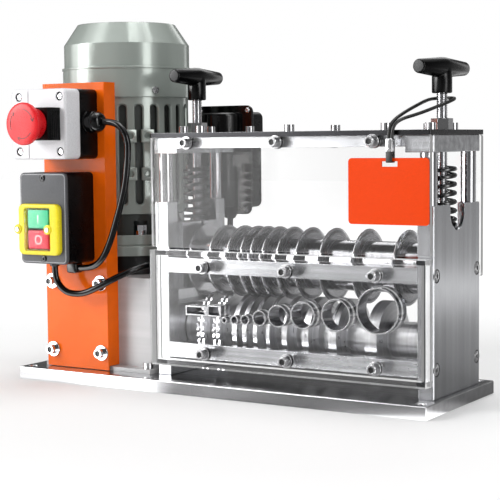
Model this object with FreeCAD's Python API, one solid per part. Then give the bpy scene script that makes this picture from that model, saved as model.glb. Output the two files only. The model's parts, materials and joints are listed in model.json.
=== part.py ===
import FreeCAD
import Part
import math
import os

from FreeCAD import Vector

# Bench wire stripping machine. A steel base carries a motor with a worm gearbox at the left and
# a roller frame at the right. The driven feed roller pulls the wire in under ten round blades on
# a second roller, and two T-handled screws raise and lower that roller on its sliding blocks.
# Millimetres. +X runs along the base to the right, -Y is the front and +Z is up.
# The origin is the middle of the underside of the base.

# Fits
RUNNING_FIT = 0.05
SEAT_FIT = 0.05
SCREW_FIT = 0.1
SCREW_HOLE_FIT = 0.2
SLIDE_FIT = 0.3
SHAFT_END_GAP = 1.0

# Ten wire channels from the motor side: pitch between blades, guide size and place, groove floor
CHANNEL_PITCHES = [20.0, 15.0, 11.0, 13.0, 16.0, 20.0, 25.5, 34.0, 40.5]
GUIDE_WIDTHS = [24.0, 15.0, 6.2, 8.2, 9.6, 14.5, 20.5, 25.0, 29.0, 41.0]
GUIDE_HEIGHTS = [8.9, 10.3, 6.2, 8.2, 9.6, 14.5, 20.5, 25.0, 29.0, 41.0]
GUIDE_SHIFTS = [8.0, 8.0, 4.0, 4.0, 2.5, 2.0, 1.5, 2.0, 1.5, 2.0]
FLOOR_RADII = [23.0, 23.0, 24.2, 24.2, 24.2, 22.5, 21.0, 19.5, 18.0, 16.5]
FLANGE_OFFSETS = [3.5, 6.5, 2.8, 3.7, 4.9, 6.2, 7.5, 10.0, 13.0]
FLANGE_WIDTHS = [8.0, 5.0, 4.6, 4.4, 4.0, 5.4, 7.0, 8.0, 12.0]
FIRST_CHANNEL_OFFSET = 35.0
LAST_CHANNEL_OFFSET = 31.5
FIRST_FLANGE_OFFSET = 14.5
FIRST_FLANGE_WIDTH = 8.0
FIRST_SLOPED_FLANGE = 5
FLANGE_SLOPE = 2.5
FLAT_GUIDE_COUNT = 2
FLAT_GUIDE_RISE = 5.8

# Roller frame
AXIS_Y = 4.0
FRAME_DEPTH = 100.0
END_BLOCK_THICKNESS = 15.0
END_BLOCK_HEIGHT = 168.0
EDGE_BREAK = 0.6
POCKET_WIDTH = 68.0
POCKET_WALL = 3.0
POCKET_FLOOR_HEIGHT = 8.0
SLOT_WIDTH = 31.0
SLOT_DEPTH = 23.0
COLUMN_DIAMETER = 14.0
COLUMN_HEIGHT = 46.0
COLUMN_EDGE_DISTANCE = 7.5
COLUMN_INSET = 8.0
COLUMN_SPIGOT_DIAMETER = 8.0
COLUMN_SPIGOT_LENGTH = 10.0
TOP_BLOCK_WIDTH = 26.5
TOP_BLOCK_HEIGHT = 15.0
TOP_BAR_HEIGHT = 10.0
TOP_BAR_DEPTH = 12.0
PLATE_THICKNESS = 4.5
PLATE_END_OVERHANG = 0.5
PLATE_CORNER_RADIUS = 1.5
TIE_BAR_DEPTH = 12.0
TIE_BAR_HEIGHT = 14.0
LOWER_TIE_HEIGHT = 26.0
UPPER_TIE_HEIGHT = 107.5
BLOCK_SCREW_INSET = 8.0

# Gearbox, on its foot beside the frame
GEARBOX_LENGTH = 124.0
GEARBOX_FRONT_DEPTH = 42.0
GEARBOX_BACK_DEPTH = 48.0
GEARBOX_HEIGHT = 92.0
GEARBOX_EDGE_RADIUS = 6.0
GEARBOX_WALL = 8.0
GEARBOX_FLOOR = 12.0
GEARBOX_GAP = 9.5
FOOT_THICKNESS = 4.0
FOOT_FRONT_MARGIN = 13.5
FOOT_SIDE_MARGIN = 3.0
FOOT_SCREW_INSET = 7.0
FOOT_LEFT_SCREW_INSET = 24.0
FOOT_SCREW_DEPTH = 8.0
MOTOR_AXIS_FROM_LEFT = 41.0
WORM_CENTRE_DISTANCE = 30.0
WORM_MODULE = 1.5
WORM_WHEEL_TEETH = 30
WORM_WHEEL_WIDTH = 14.0
WORM_TURNS = 6
WORM_PHASE = 0.75
WORM_ROOT_FACTOR = 1.27
WORM_ROOT_THICKNESS = 2.6
WORM_TIP_THICKNESS = 0.7
WORM_THREAD_SINK = 0.4
WORM_TAIL_RADIUS = 5.0
WORM_TAIL_INSET = 5.0

# Base plate
BASE_WIDTH = 150.0
BASE_THICKNESS = 12.0
BASE_LEFT_MARGIN = 19.0
BASE_RIGHT_MARGIN = 6.0
MOUNT_HOLE_DIAMETER = 9.0
MOUNT_HOLE_INSET = 10.0
MOUNT_HOLE_CHAMFER = 1.0

# Rollers
FEED_AXIS_HEIGHT = 44.0
FEED_FLANGE_RADIUS = 34.5
TOOTH_RING_WIDTH = 2.6
TOOTH_RING_TEETH = 36
TOOTH_DEPTH = 1.8
END_COLLAR_WIDTH = 8.0
END_COLLAR_RADIUS = 19.0
FEED_SHAFT_INSET = 4.0
SHAFT_HOLE_DIAMETER = 24.0
BLADE_RADIUS = 34.5
BLADE_THICKNESS = 4.0
BLADE_BEVEL_HEIGHT = 4.5
BLADE_EDGE_WIDTH = 0.8
BLADE_OVERLAP = 3.5
SPACER_RADIUS = 23.25
END_FLANGE_RADIUS = 35.3
END_FLANGE_THICKNESS = 2.0
END_FLANGE_OFFSET = 5.0
SHAFT_DIAMETER = 20.0
ROLLER_END_GAP = 1.0
BEARING_DIAMETER = 42.0
BEARING_WIDTH = 12.0
FEED_BEARING_DIAMETER = 37.0
FEED_BEARING_WIDTH = 9.0
BEARING_RACE_SHARE = 0.3
BEARING_SHIELD_STEP = 0.8
BEARING_SHOULDER_RADIUS = 14.0

# Screw-down carriage
UPPER_BLOCK_THICKNESS = 17.0
UPPER_BLOCK_STANDOUT = 5.5
UPPER_BLOCK_BELOW_AXIS = 26.9
UPPER_BLOCK_ABOVE_AXIS = 38.0
LOWER_BLOCK_ABOVE_AXIS = 24.0
CARRIAGE_DOWN = 6.0
SCREW_DIAMETER = 10.0
SCREW_NECK_DIAMETER = 8.0
SCREW_NECK_LENGTH = 5.6
SCREW_HEAD_DIAMETER = 14.0
SCREW_HEAD_THICKNESS = 5.0
HEAD_PLAY = 0.2
NUT_ACROSS_FLATS = 17.0
NUT_HEIGHT = 10.0
SPRING_DIAMETER = 27.0
SPRING_WIRE = 3.6
SPRING_TURNS = 7.5
SPRING_LENGTH = 55.0
SPRING_END_GAP = 0.6
SPRING_RELIEF = 0.4
HANDLE_BOSS_DIAMETER = 18.0
HANDLE_BOSS_HEIGHT = 14.5
HANDLE_BOSS_GAP = 22.2
HANDLE_LENGTH = 77.0
HANDLE_MIDDLE_DIAMETER = 18.0
HANDLE_END_DIAMETER = 12.5
HANDLE_END_CAP = 1.5
HANDLE_SHOULDER = 16.0
HANDLE_BELLY = 8.0
HANDLE_SINK = 1.0
HANDLE_SCREW_DEPTH = 12.0
RIGHT_HANDLE_ANGLE = -7.0

# Clear guards
GUARD_THICKNESS = 5.0
GUARD_GAP = 3.0
GUARD_CORNER_RADIUS = 2.0
UPPER_GUARD_HEIGHT = 104.0
REAR_GUARD_HEIGHT = 130.0
LOWER_GUARD_PROJECTION = 13.5
LOWER_GUARD_BOTTOM = 12.0
LOWER_GUARD_HEIGHT = 110.3
LOWER_GUARD_LEFT_INSET = 1.5
LOWER_GUARD_RIGHT_INSET = 2.0
GUARD_SCREW_PITCH = 97.6
UPPER_SCREW_SHIFT = -6.25
LOWER_SCREW_PITCH = 89.7
LOWER_SCREW_SHIFT = 6.1
GUARD_SCREW_DEPTH = 6.0

# Wire guides
GUIDE_WALL = 1.2
GUIDE_LENGTH = 17.0
GUIDE_PROJECTION = 5.5
GUIDE_BOTTOM_HEIGHT = 57.0

# Screws, washers and sleeves
M3_DIAMETER = 3.0
M3_HEAD_DIAMETER = 6.4
M3_HEAD_HEIGHT = 1.6
M5_DIAMETER = 5.0
M5_HEAD_DIAMETER = 9.2
M5_HEAD_HEIGHT = 6.3
M5_LENGTH = 10.0
M6_DIAMETER = 6.0
M6_HEAD_DIAMETER = 12.0
M6_LENGTH = 28.0
M6_CAP_DIAMETER = 10.0
M6_CAP_HEIGHT = 6.0
M8_DIAMETER = 8.0
M8_HEAD_DIAMETER = 13.0
M8_HEAD_HEIGHT = 8.0
M8_RECESS = 9.0
M8_LENGTH = 20.0
GUARD_WASHER_DIAMETER = 12.5
GUARD_WASHER_THICKNESS = 1.4
GUARD_SLEEVE_DIAMETER = 9.0
TOP_SCREW_SPACING = 48.0
TOP_BAR_SCREW_PITCH = 97.5
SIDE_SCREW_RECESS = 0.4

# Motor
ADAPTER_INSET = 3.0
ADAPTER_HEIGHT = 19.0
MOTOR_FLANGE_LIP = 2.6
MOTOR_FLANGE_HEIGHT = 21.0
FLANGE_GROOVE = 1.2
FLANGE_BOLT_ANGLE = 47.9
FLANGE_BOLT_INSET = 6.6
HEX_BOLT_FLATS = 10.0
HEX_BOLT_HEIGHT = 5.5
HEX_BOLT_WASHER = 12.0
HEX_BOLT_WASHER_HEIGHT = 4.5
HEX_BOLT_POCKET = 7.0
HEX_BOLT_POCKET_HEIGHT = 14.0
END_SHIELD_INSET = 4.4
END_SHIELD_HEIGHT = 21.0
MOTOR_BODY_RADIUS = 63.0
MOTOR_BODY_HEIGHT = 117.4
MOTOR_BODY_WALL = 8.0
MOTOR_CAVITY_RADIUS = 52.0
COOLING_SLOTS = 24
COOLING_SLOT_WIDTH = 8.0
COOLING_SLOT_DEPTH = 6.5
COOLING_SLOT_MARGIN = 10.0
COOLING_SLOT_TOP_MARGIN = 8.0
FIRST_SLOT_ANGLE = 2.0
STATOR_INSET = 24.0
STATOR_BORE_RADIUS = 32.0
ROTOR_AIR_GAP = 0.8
MOTOR_SHAFT_DIAMETER = 16.0
REAR_SHIELD_HEIGHT = 11.6
FOOT_PAD_ANGLE = 46.5
FOOT_PAD_CLEAR_ANGLE = 24.0
FOOT_PAD_LEVELS = [40.4, 78.3]
FOOT_PAD_SPREAD = 9.0
FOOT_PAD_SIZE = 13.0
FOOT_PAD_ROOT = 55.0
FOOT_PAD_PROJECTION = 3.5
FOOT_PAD_HOLE = 6.0
FOOT_PAD_HOLE_DEPTH = 8.0
COVER_SKIRT_STEP = 3.1
COVER_WALL_STEP = 1.6
COVER_TOP_INSET = 12.5
COVER_SKIRT_HEIGHT = 28.6
COVER_WALL_HEIGHT = 25.4
COVER_CROWN_HEIGHT = 21.2
COVER_THICKNESS = 1.6
COVER_BEAD = 0.8
COVER_BEAD_HEIGHT = 2.0
COVER_SCREW_ANGLE = 61.7
COVER_SCREW_HEIGHT = 6.6
COVER_SCREW_DIAMETER = 7.0
COVER_SCREW_PROJECTION = 1.6
COVER_SCREW_SINK = 1.0
VENT_RADII = [14.0, 26.0, 38.0]
VENT_WIDTH = 5.0
VENT_WEB = 6.0
FAN_GAP = 6.0
FAN_RADIUS = 52.0
FAN_BLADES = 8
FAN_BLADE_HEIGHT = 20.0
FAN_BLADE_THICKNESS = 2.5
FAN_HUB_RADIUS = 18.0
FAN_HUB_HEIGHT = 22.0

# Capacitor box
CAPACITOR_WIDTH = 69.3
CAPACITOR_HEIGHT = 112.4
CAPACITOR_DEPTH = 29.0
CAPACITOR_INSET = 6.4
CAPACITOR_PLATE = 3.0
CAPACITOR_WALL = 2.5
CAPACITOR_CORNER_RADIUS = 7.0
CAPACITOR_X_FROM_MOTOR = 85.15
CAPACITOR_Y_FROM_MOTOR = 52.0
CAPACITOR_BOTTOM = 149.6
CAPACITOR_DOME_DIAMETER = 47.3
CAPACITOR_DOME_MARGIN = 7.4
CAPACITOR_DOME_SHIFT = -3.3
CAPACITOR_DOME_SINK = 1.7
CAPACITOR_DOME_ROUND = 3.0
CAPACITOR_SADDLE_START = 22.0
CAPACITOR_SADDLE_HEIGHT = 70.0

# Control bracket
SHEET = 2.0
BRACKET_WIDTH = 77.0
BRACKET_HEIGHT = 283.5
BRACKET_STANDOFF = 15.5
BRACKET_BASE_GAP = 0.5
BRACKET_FOOT_CLEARANCE = 0.5
BRACKET_SCREW_SPACING = 61.0
BRACKET_SCREW_HEIGHTS = [17.6, 86.8]
BRACKET_SCREW_DEPTH = 7.0
BRACKET_WASHER_DIAMETER = 15.5
BRACKET_WASHER_THICKNESS = 1.5
BRACKET_TUBE_DIAMETER = 11.0

# Emergency stop
ESTOP_WIDTH = 68.0
ESTOP_HEIGHT = 67.5
ESTOP_BASE_DEPTH = 27.0
ESTOP_COVER_DEPTH = 21.0
ESTOP_WALL = 2.5
ESTOP_CORNER_RADIUS = 5.0
ESTOP_SHIFT = -4.0
ESTOP_BOTTOM = 209.5
ESTOP_BUTTON_SHIFT = 11.5
ESTOP_SEAM_FROM_LEFT = 21.5
ESTOP_SEAM_WIDTH = 0.8
ESTOP_SCREW_INSET = 10.0
ESTOP_RIGHT_SCREW_INSET = 7.5
ESTOP_SCREW_RISE = 7.5
ESTOP_SCREW_LENGTH = 38.0
ESTOP_POST_DIAMETER = 7.0
ESTOP_COLLAR_SIZE = 31.0
ESTOP_COLLAR_DEPTH = 18.5
ESTOP_COLLAR_GROOVES = 4
ESTOP_GROOVE_WIDTH = 1.4
ESTOP_NECK_RADIUS = 14.7
ESTOP_NECK_LENGTH = 13.5
ESTOP_CAP_RADIUS = 20.0
ESTOP_CAP_DEPTH = 5.5
ESTOP_CAP_ROUND = 1.5
ESTOP_STEM_RADIUS = 8.0
ESTOP_STEM_REACH = 6.0
ESTOP_TRAVEL = 4.0

# Switch box
SWITCH_WIDTH = 58.0
SWITCH_HEIGHT = 88.5
SWITCH_DEPTH = 39.0
SWITCH_PLATE_DEPTH = 3.0
SWITCH_WALL = 3.0
SWITCH_CORNER_RADIUS = 5.0
SWITCH_SHIFT = -5.5
SWITCH_BOTTOM = 108.0
SWITCH_FRAME_WIDTH = 51.0
SWITCH_FRAME_HEIGHT = 49.8
SWITCH_FRAME_DEPTH = 5.0
SWITCH_FRAME_SHIFT = -8.0
SWITCH_FRAME_BOTTOM = 8.7
SWITCH_FRAME_ROUND = 5.0
SWITCH_WINDOW_WIDTH = 32.0
SWITCH_WINDOW_HEIGHT = 42.0
SWITCH_WINDOW_SHIFT = -9.3
SWITCH_SCREW_INSET = 5.0
SWITCH_SCREW_LENGTH = 12.0
SWITCH_POST_DIAMETER = 7.0
BUTTON_WIDTH = 26.0
BUTTON_HEIGHT = 18.0
BUTTON_GAP = 2.0
BUTTON_PROJECTION = 3.5
BUTTON_DEPTH = 8.0
BUTTON_FIT = 0.4

# Cables and their entries
CORD_REACH = 0.45
CABLE_DIAMETER = 6.4
GLAND_DIAMETER = 22.0
GLAND_TIP_DIAMETER = 13.0
GLAND_NUT_LENGTH = 8.0
GROMMET_DIAMETER = 10.0
ELBOW_WIDTH = 12.0
CAPACITOR_GLAND_DIAMETER = 16.0
ESTOP_CABLE_ROUTE = [
    (-118.0, -69.0, 257.0), (-105.6, -69.0, 257.0), (-94.2, -69.0, 250.6), (-88.0, -69.0, 238.8),
    (-88.4, -69.0, 222.0), (-91.5, -69.0, 199.0), (-97.0, -69.0, 180.0), (-104.0, -69.0, 160.5),
    (-111.0, -69.0, 142.0), (-120.5, -69.0, 124.5), (-134.5, -69.0, 114.5), (-150.0, -69.0, 114.5),
]
MOTOR_CABLE_ROUTE = [
    (-176.0, -75.0, 116.0), (-176.0, -75.0, 107.0), (-172.5, -74.7, 98.4), (-165.9, -74.0, 92.1),
    (-157.6, -72.8, 89.0), (-144.0, -69.8, 89.4), (-129.0, -67.0, 96.2), (-115.5, -61.5, 103.8),
    (-104.8, -52.5, 110.3), (-96.5, -40.0, 115.3), (-91.0, -24.0, 117.5), (-88.0, -4.0, 117.8),
    (-86.5, 18.0, 117.0), (-85.5, 40.0, 116.0), (-84.3, 60.0, 116.0), (-83.3, 78.0, 119.0),
    (-82.4, 94.0, 127.5), (-82.0, 104.0, 141.0), (-82.0, 104.0, 156.0),
]

# Hang tag on its strap
TAG_WIDTH = 77.0
TAG_HEIGHT = 57.5
TAG_THICKNESS = 1.2
TAG_CORNER_RADIUS = 3.5
TAG_CENTRE_FROM_RIGHT = 37.0
TAG_TOP = 209.5
TAG_GUARD_GAP = 4.0
TAG_STRIP = 2.9
TAG_SLOT_WIDTH = 15.0
TAG_SLOT_HEIGHT = 4.6
TAG_SLOT_FROM_RIGHT = 35.5
TAG_LOOP_WIDTH = 6.0
TAG_LOOP_THICKNESS = 1.0
TAG_LOOP_DEPTH = 3.4
TAG_LOOP_GAP = 0.25
FERRULE_FROM_RIGHT = 35.0
FERRULE_WIDTH = 6.4
FERRULE_DEPTH = 3.4
FERRULE_RISE = 4.5
STRAP_DIAMETER = 3.0
STRAP_ROUTE = [
    (182.4, -58.6, 238.0), (182.4, -58.6, 246.5), (185.2, -54.4, 254.4), (189.4, -38.5, 262.6),
    (192.0, -19.0, 269.5), (193.3, -4.0, 274.0), (193.5, 8.35, 275.5), (199.65, 14.5, 275.8),
    (208.35, 14.5, 275.8), (214.5, 8.35, 275.2), (214.2, -4.0, 271.8), (207.0, -20.0, 265.5),
    (199.4, -37.0, 259.4), (190.4, -53.6, 254.6), (185.6, -58.6, 247.4), (185.6, -58.6, 238.0),
]

X_AXIS = Vector(1, 0, 0)
Y_AXIS = Vector(0, 1, 0)
Z_AXIS = Vector(0, 0, 1)

# Places that follow from the sizes
BLADE_COUNT = len(CHANNEL_PITCHES) + 1
CHANNEL_SPAN = sum(CHANNEL_PITCHES)
INNER_LENGTH = FIRST_CHANNEL_OFFSET + CHANNEL_SPAN + LAST_CHANNEL_OFFSET
FRAME_LENGTH = INNER_LENGTH + 2 * END_BLOCK_THICKNESS
BASE_LENGTH = BASE_LEFT_MARGIN + GEARBOX_LENGTH + GEARBOX_GAP + FRAME_LENGTH + BASE_RIGHT_MARGIN
BASE_TOP = BASE_THICKNESS
FRAME_RIGHT = BASE_LENGTH / 2 - BASE_RIGHT_MARGIN
FRAME_LEFT = FRAME_RIGHT - FRAME_LENGTH
FRAME_MIDDLE = (FRAME_LEFT + FRAME_RIGHT) / 2
INNER_RIGHT = FRAME_RIGHT - END_BLOCK_THICKNESS
INNER_LEFT = FRAME_LEFT + END_BLOCK_THICKNESS
FRAME_FRONT = AXIS_Y - FRAME_DEPTH / 2
FRAME_BACK = AXIS_Y + FRAME_DEPTH / 2
COLUMN_SPACING = FRAME_DEPTH - 2 * COLUMN_EDGE_DISTANCE
BLOCK_TOP = BASE_TOP + END_BLOCK_HEIGHT
RAIL_TOP = BLOCK_TOP + COLUMN_HEIGHT + TOP_BLOCK_HEIGHT
PLATE_TOP = RAIL_TOP + PLATE_THICKNESS
POCKET_FLOOR = FRAME_RIGHT - POCKET_WALL
POCKET_BOTTOM = BASE_TOP + POCKET_FLOOR_HEIGHT
FEED_Z = BASE_TOP + FEED_AXIS_HEIGHT
BLADE_Z = FEED_Z + FEED_FLANGE_RADIUS + BLADE_RADIUS - BLADE_OVERLAP
BLOCK_SEAT = BLADE_Z + UPPER_BLOCK_ABOVE_AXIS
SCREW_X = INNER_RIGHT
GEARBOX_RIGHT = FRAME_LEFT - GEARBOX_GAP
GEARBOX_LEFT = GEARBOX_RIGHT - GEARBOX_LENGTH
GEARBOX_FRONT = AXIS_Y - GEARBOX_FRONT_DEPTH
GEARBOX_BACK = AXIS_Y + GEARBOX_BACK_DEPTH
GEARBOX_TOP = BASE_TOP + GEARBOX_HEIGHT
MOTOR_X = GEARBOX_LEFT + MOTOR_AXIS_FROM_LEFT
MOTOR_Y = AXIS_Y + WORM_CENTRE_DISTANCE
ADAPTER_RADIUS = MOTOR_BODY_RADIUS - ADAPTER_INSET
MOTOR_FLANGE_RADIUS = MOTOR_BODY_RADIUS + MOTOR_FLANGE_LIP
FLANGE_BOLT_CIRCLE = MOTOR_FLANGE_RADIUS - FLANGE_BOLT_INSET
END_SHIELD_RADIUS = MOTOR_BODY_RADIUS - END_SHIELD_INSET
FOOT_PAD_REACH = MOTOR_BODY_RADIUS + FOOT_PAD_PROJECTION
COVER_SKIRT_RADIUS = MOTOR_BODY_RADIUS + COVER_SKIRT_STEP
COVER_RADIUS = MOTOR_BODY_RADIUS + COVER_WALL_STEP
COVER_TOP_RADIUS = MOTOR_BODY_RADIUS - COVER_TOP_INSET
ADAPTER_TOP = GEARBOX_TOP + ADAPTER_HEIGHT
FLANGE_TOP = ADAPTER_TOP + MOTOR_FLANGE_HEIGHT
SHIELD_TOP = FLANGE_TOP + END_SHIELD_HEIGHT
BODY_TOP = SHIELD_TOP + MOTOR_BODY_HEIGHT
COVER_TOP = BODY_TOP + COVER_SKIRT_HEIGHT + COVER_WALL_HEIGHT + COVER_CROWN_HEIGHT
BRACKET_BACK = GEARBOX_FRONT - BRACKET_STANDOFF
BRACKET_FACE = BRACKET_BACK - SHEET
BRACKET_LEFT = MOTOR_X - BRACKET_WIDTH / 2
BRACKET_RIGHT = MOTOR_X + BRACKET_WIDTH / 2
LOWER_TIE_Z = BASE_TOP + LOWER_TIE_HEIGHT
UPPER_TIE_Z = BASE_TOP + UPPER_TIE_HEIGHT
TOP_BAR_Z = RAIL_TOP - TOP_BAR_HEIGHT / 2


def blade_positions():
    """Return the blade centres along X, from the motor side."""
    positions = [INNER_LEFT + FIRST_CHANNEL_OFFSET]
    for pitch in CHANNEL_PITCHES:
        positions.append(positions[-1] + pitch)
    return positions


# Small building helpers
def block(x0, x1, y0, y1, z0, z1):
    """Return a block between two opposite corners."""
    return Part.makeBox(x1 - x0, y1 - y0, z1 - z0, Vector(x0, y0, z0))


def pin(radius, start, direction, length):
    """Return a round bar from a start point."""
    return Part.makeCylinder(radius, length, Vector(*start), direction)


def edges_along(shape, direction):
    """Return the straight edges parallel to a direction."""
    found = []
    for edge in shape.Edges:
        if abs(edge.tangentAt(edge.FirstParameter).dot(direction)) > 0.999:
            found.append(edge)
    return found


def rounded_block(x0, x1, y0, y1, z0, z1, radius, direction):
    """Return a block whose edges along one direction are rounded."""
    shape = block(x0, x1, y0, y1, z0, z1)
    return shape.makeFillet(radius, edges_along(shape, direction))


def broken_block(x0, x1, y0, y1, z0, z1):
    """Return a block with all its edges broken."""
    shape = block(x0, x1, y0, y1, z0, z1)
    return shape.makeChamfer(EDGE_BREAK, shape.Edges)


def turned(profile, origin, axis):
    """Revolve points, given as distance along the axis and radius, into a solid."""
    side = X_AXIS if abs(axis.z) > 0.5 else Z_AXIS
    centre = Vector(*origin)
    points = [centre + axis * along + side * radius for along, radius in profile]
    solid = Part.Face(Part.makePolygon(points + [points[0]])).revolve(centre, axis, 360)
    if solid.Volume < 0:
        solid.reverse()
    return solid


def prism(corners, direction, length):
    """Push a flat polygon along a direction."""
    return Part.Face(Part.makePolygon(corners + [corners[0]])).extrude(direction * length)


def hexagon(across_flats, start, direction, length):
    """Return a hexagonal bar from a start point."""
    centre = Vector(*start)
    side = X_AXIS if abs(direction.x) < 0.5 else Y_AXIS
    other = direction.cross(side)
    radius = across_flats / math.sqrt(3)
    corners = []
    for step in range(6):
        angle = math.radians(60 * step + 30)
        corners.append(centre + side * (radius * math.cos(angle)) + other * (radius * math.sin(angle)))
    return prism(corners, direction, length)


def other_end(shape):
    """Return the copy of a right-hand piece for the left end of the frame."""
    return shape.mirror(Vector(FRAME_MIDDLE, 0, 0), X_AXIS)


def cap_screw(seat, direction, diameter, head_diameter, head_height, length):
    """Return a cap screw whose head stands on the seat and whose shank runs along the direction."""
    head = pin(head_diameter / 2, seat, direction * -1, head_height)
    shank = pin(diameter / 2, seat, direction, length)
    return head.fuse(shank)


def screw_hole(seat, direction, diameter, length):
    """Return the tool that clears a screw's shank."""
    return pin(diameter / 2 + SCREW_FIT, seat, direction, length)


def ring(outer, inner, start, direction, length):
    """Return a plain ring or sleeve."""
    return pin(outer, start, direction, length).cut(pin(inner, start, direction, length))


def bearing(start, direction, outer_radius, width, bore_radius):
    """Return a shielded ball bearing."""
    race = (outer_radius - bore_radius) * BEARING_RACE_SHARE
    inner = bore_radius + race
    outer = outer_radius - race
    profile = [
        (0, bore_radius), (0, inner), (BEARING_SHIELD_STEP, inner), (BEARING_SHIELD_STEP, outer), (0, outer),
        (0, outer_radius), (width, outer_radius), (width, outer), (width - BEARING_SHIELD_STEP, outer),
        (width - BEARING_SHIELD_STEP, inner), (width, inner), (width, bore_radius),
    ]
    return turned(profile, start, direction)


# Soft forms
def cord_path(points):
    """Join straight runs with tangent arcs and return the wire and the smallest radius."""
    edges = []
    smallest = 1000.0
    start = points[0]
    for index in range(1, len(points) - 1):
        corner = points[index]
        before = corner - points[index - 1]
        after = points[index + 1] - corner
        reach = CORD_REACH * min(before.Length, after.Length)
        turn = before.getAngle(after)
        radius = reach / math.tan(turn / 2)
        smallest = min(smallest, radius)
        before.normalize()
        after.normalize()
        enter = corner - before * reach
        leave = corner + after * reach
        inward = after - before
        inward.normalize()
        middle = corner + inward * (radius * (1 / math.cos(turn / 2) - 1))
        edges.append(Part.LineSegment(start, enter).toShape())
        edges.append(Part.Arc(enter, middle, leave).toShape())
        start = leave
    edges.append(Part.LineSegment(start, points[-1]).toShape())
    return Part.Wire(edges), smallest


def cord(name, route, diameter):
    """Return a round cord along a route and print how well it follows its section."""
    points = [Vector(*place) for place in route]
    path, smallest = cord_path(points)
    circle = Part.Circle(points[0], points[1] - points[0], diameter / 2)
    solid = path.makePipeShell([Part.Wire(circle.toShape())], True, False)
    ideal = math.pi * diameter ** 2 / 4 * path.Length
    print(name, "smallest radius", round(smallest, 1), "volume ratio", round(solid.Volume / ideal, 4))
    return solid


def arc_from_tangent(start, tangent, end):
    """Return the arc that leaves the start along a tangent and meets the end."""
    chord = end - start
    half = chord.Length / 2
    along = Vector(chord)
    along.normalize()
    outward = tangent - along * tangent.dot(along)
    outward.normalize()
    angle = tangent.getAngle(chord)
    middle = (start + end) * 0.5 + outward * (half * math.tan(angle / 2))
    return Part.Arc(start, middle, end).toShape()


def biarc(start, start_tangent, end, end_tangent):
    """Return two arcs that join two points and their tangents smoothly."""
    gap = end - start
    both = start_tangent + end_tangent
    spread = 1 - start_tangent.dot(end_tangent)
    reach = gap.dot(both)
    length = (math.sqrt(reach ** 2 + 2 * spread * gap.dot(gap)) - reach) / (2 * spread)
    joint = (start + end + (start_tangent - end_tangent) * length) * 0.5
    first = arc_from_tangent(start, start_tangent, joint)
    back = arc_from_tangent(end, end_tangent * -1, joint)
    middle = back.valueAt((back.FirstParameter + back.LastParameter) / 2)
    second = Part.Arc(joint, middle, end).toShape()
    return [first, second]


def spring_pitches():
    """Return the rise per turn at each quarter turn, close wound at both ends."""
    quarters = int(SPRING_TURNS * 4)
    closed = SPRING_WIRE + SPRING_END_GAP
    lift = SPRING_LENGTH - SPRING_WIRE
    shares = []
    for step in range(quarters + 1):
        nearest = min(step, quarters - step)
        shares.append(min(max((nearest - 3) / 2.0, 0.0), 1.0))
    weights = sum((shares[step] + shares[step + 1]) / 8 for step in range(quarters))
    extra = (lift - closed * quarters / 4) / weights
    return [closed + extra * share for share in shares]


def spring(centre_x, centre_y, bottom):
    """Return one compression spring standing on a height."""
    radius = (SPRING_DIAMETER - SPRING_WIRE) / 2
    pitches = spring_pitches()
    height = bottom + SPRING_WIRE / 2
    points = []
    tangents = []
    for step, pitch in enumerate(pitches):
        angle = math.radians(90 * step)
        if step:
            height += (pitches[step - 1] + pitch) / 8
        points.append(Vector(centre_x + radius * math.cos(angle), centre_y + radius * math.sin(angle), height))
        tangent = Vector(-math.sin(angle), math.cos(angle), pitch / (2 * math.pi * radius))
        tangent.normalize()
        tangents.append(tangent)
    edges = []
    for step in range(len(points) - 1):
        edges.extend(biarc(points[step], tangents[step], points[step + 1], tangents[step + 1]))
    path = Part.Wire(edges)
    circle = Part.Circle(points[0], tangents[0], SPRING_WIRE / 2)
    solid = path.makePipeShell([Part.Wire(circle.toShape())], True, False)
    least = min(points[step + 4].z - points[step].z for step in range(len(points) - 4)) - SPRING_WIRE
    print("spring least gap", round(least, 2))
    return solid


# Base and roller frame
def foot_screw_places():
    """Return where the gearbox foot is screwed to the base."""
    left = GEARBOX_LEFT - FOOT_SIDE_MARGIN + FOOT_LEFT_SCREW_INSET
    right = GEARBOX_RIGHT + FOOT_SIDE_MARGIN - FOOT_SCREW_INSET
    front = GEARBOX_FRONT - FOOT_FRONT_MARGIN + FOOT_SCREW_INSET
    back = GEARBOX_BACK + FOOT_FRONT_MARGIN - FOOT_SCREW_INSET
    return [(left, front), (right, front), (left, back), (right, back)]


def frame_screw_places():
    """Return where the end blocks are screwed from below."""
    places = []
    for x in (FRAME_LEFT + END_BLOCK_THICKNESS / 2, FRAME_RIGHT - END_BLOCK_THICKNESS / 2):
        places.append((x, FRAME_FRONT + BLOCK_SCREW_INSET))
        places.append((x, FRAME_BACK - BLOCK_SCREW_INSET))
    return places


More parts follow.
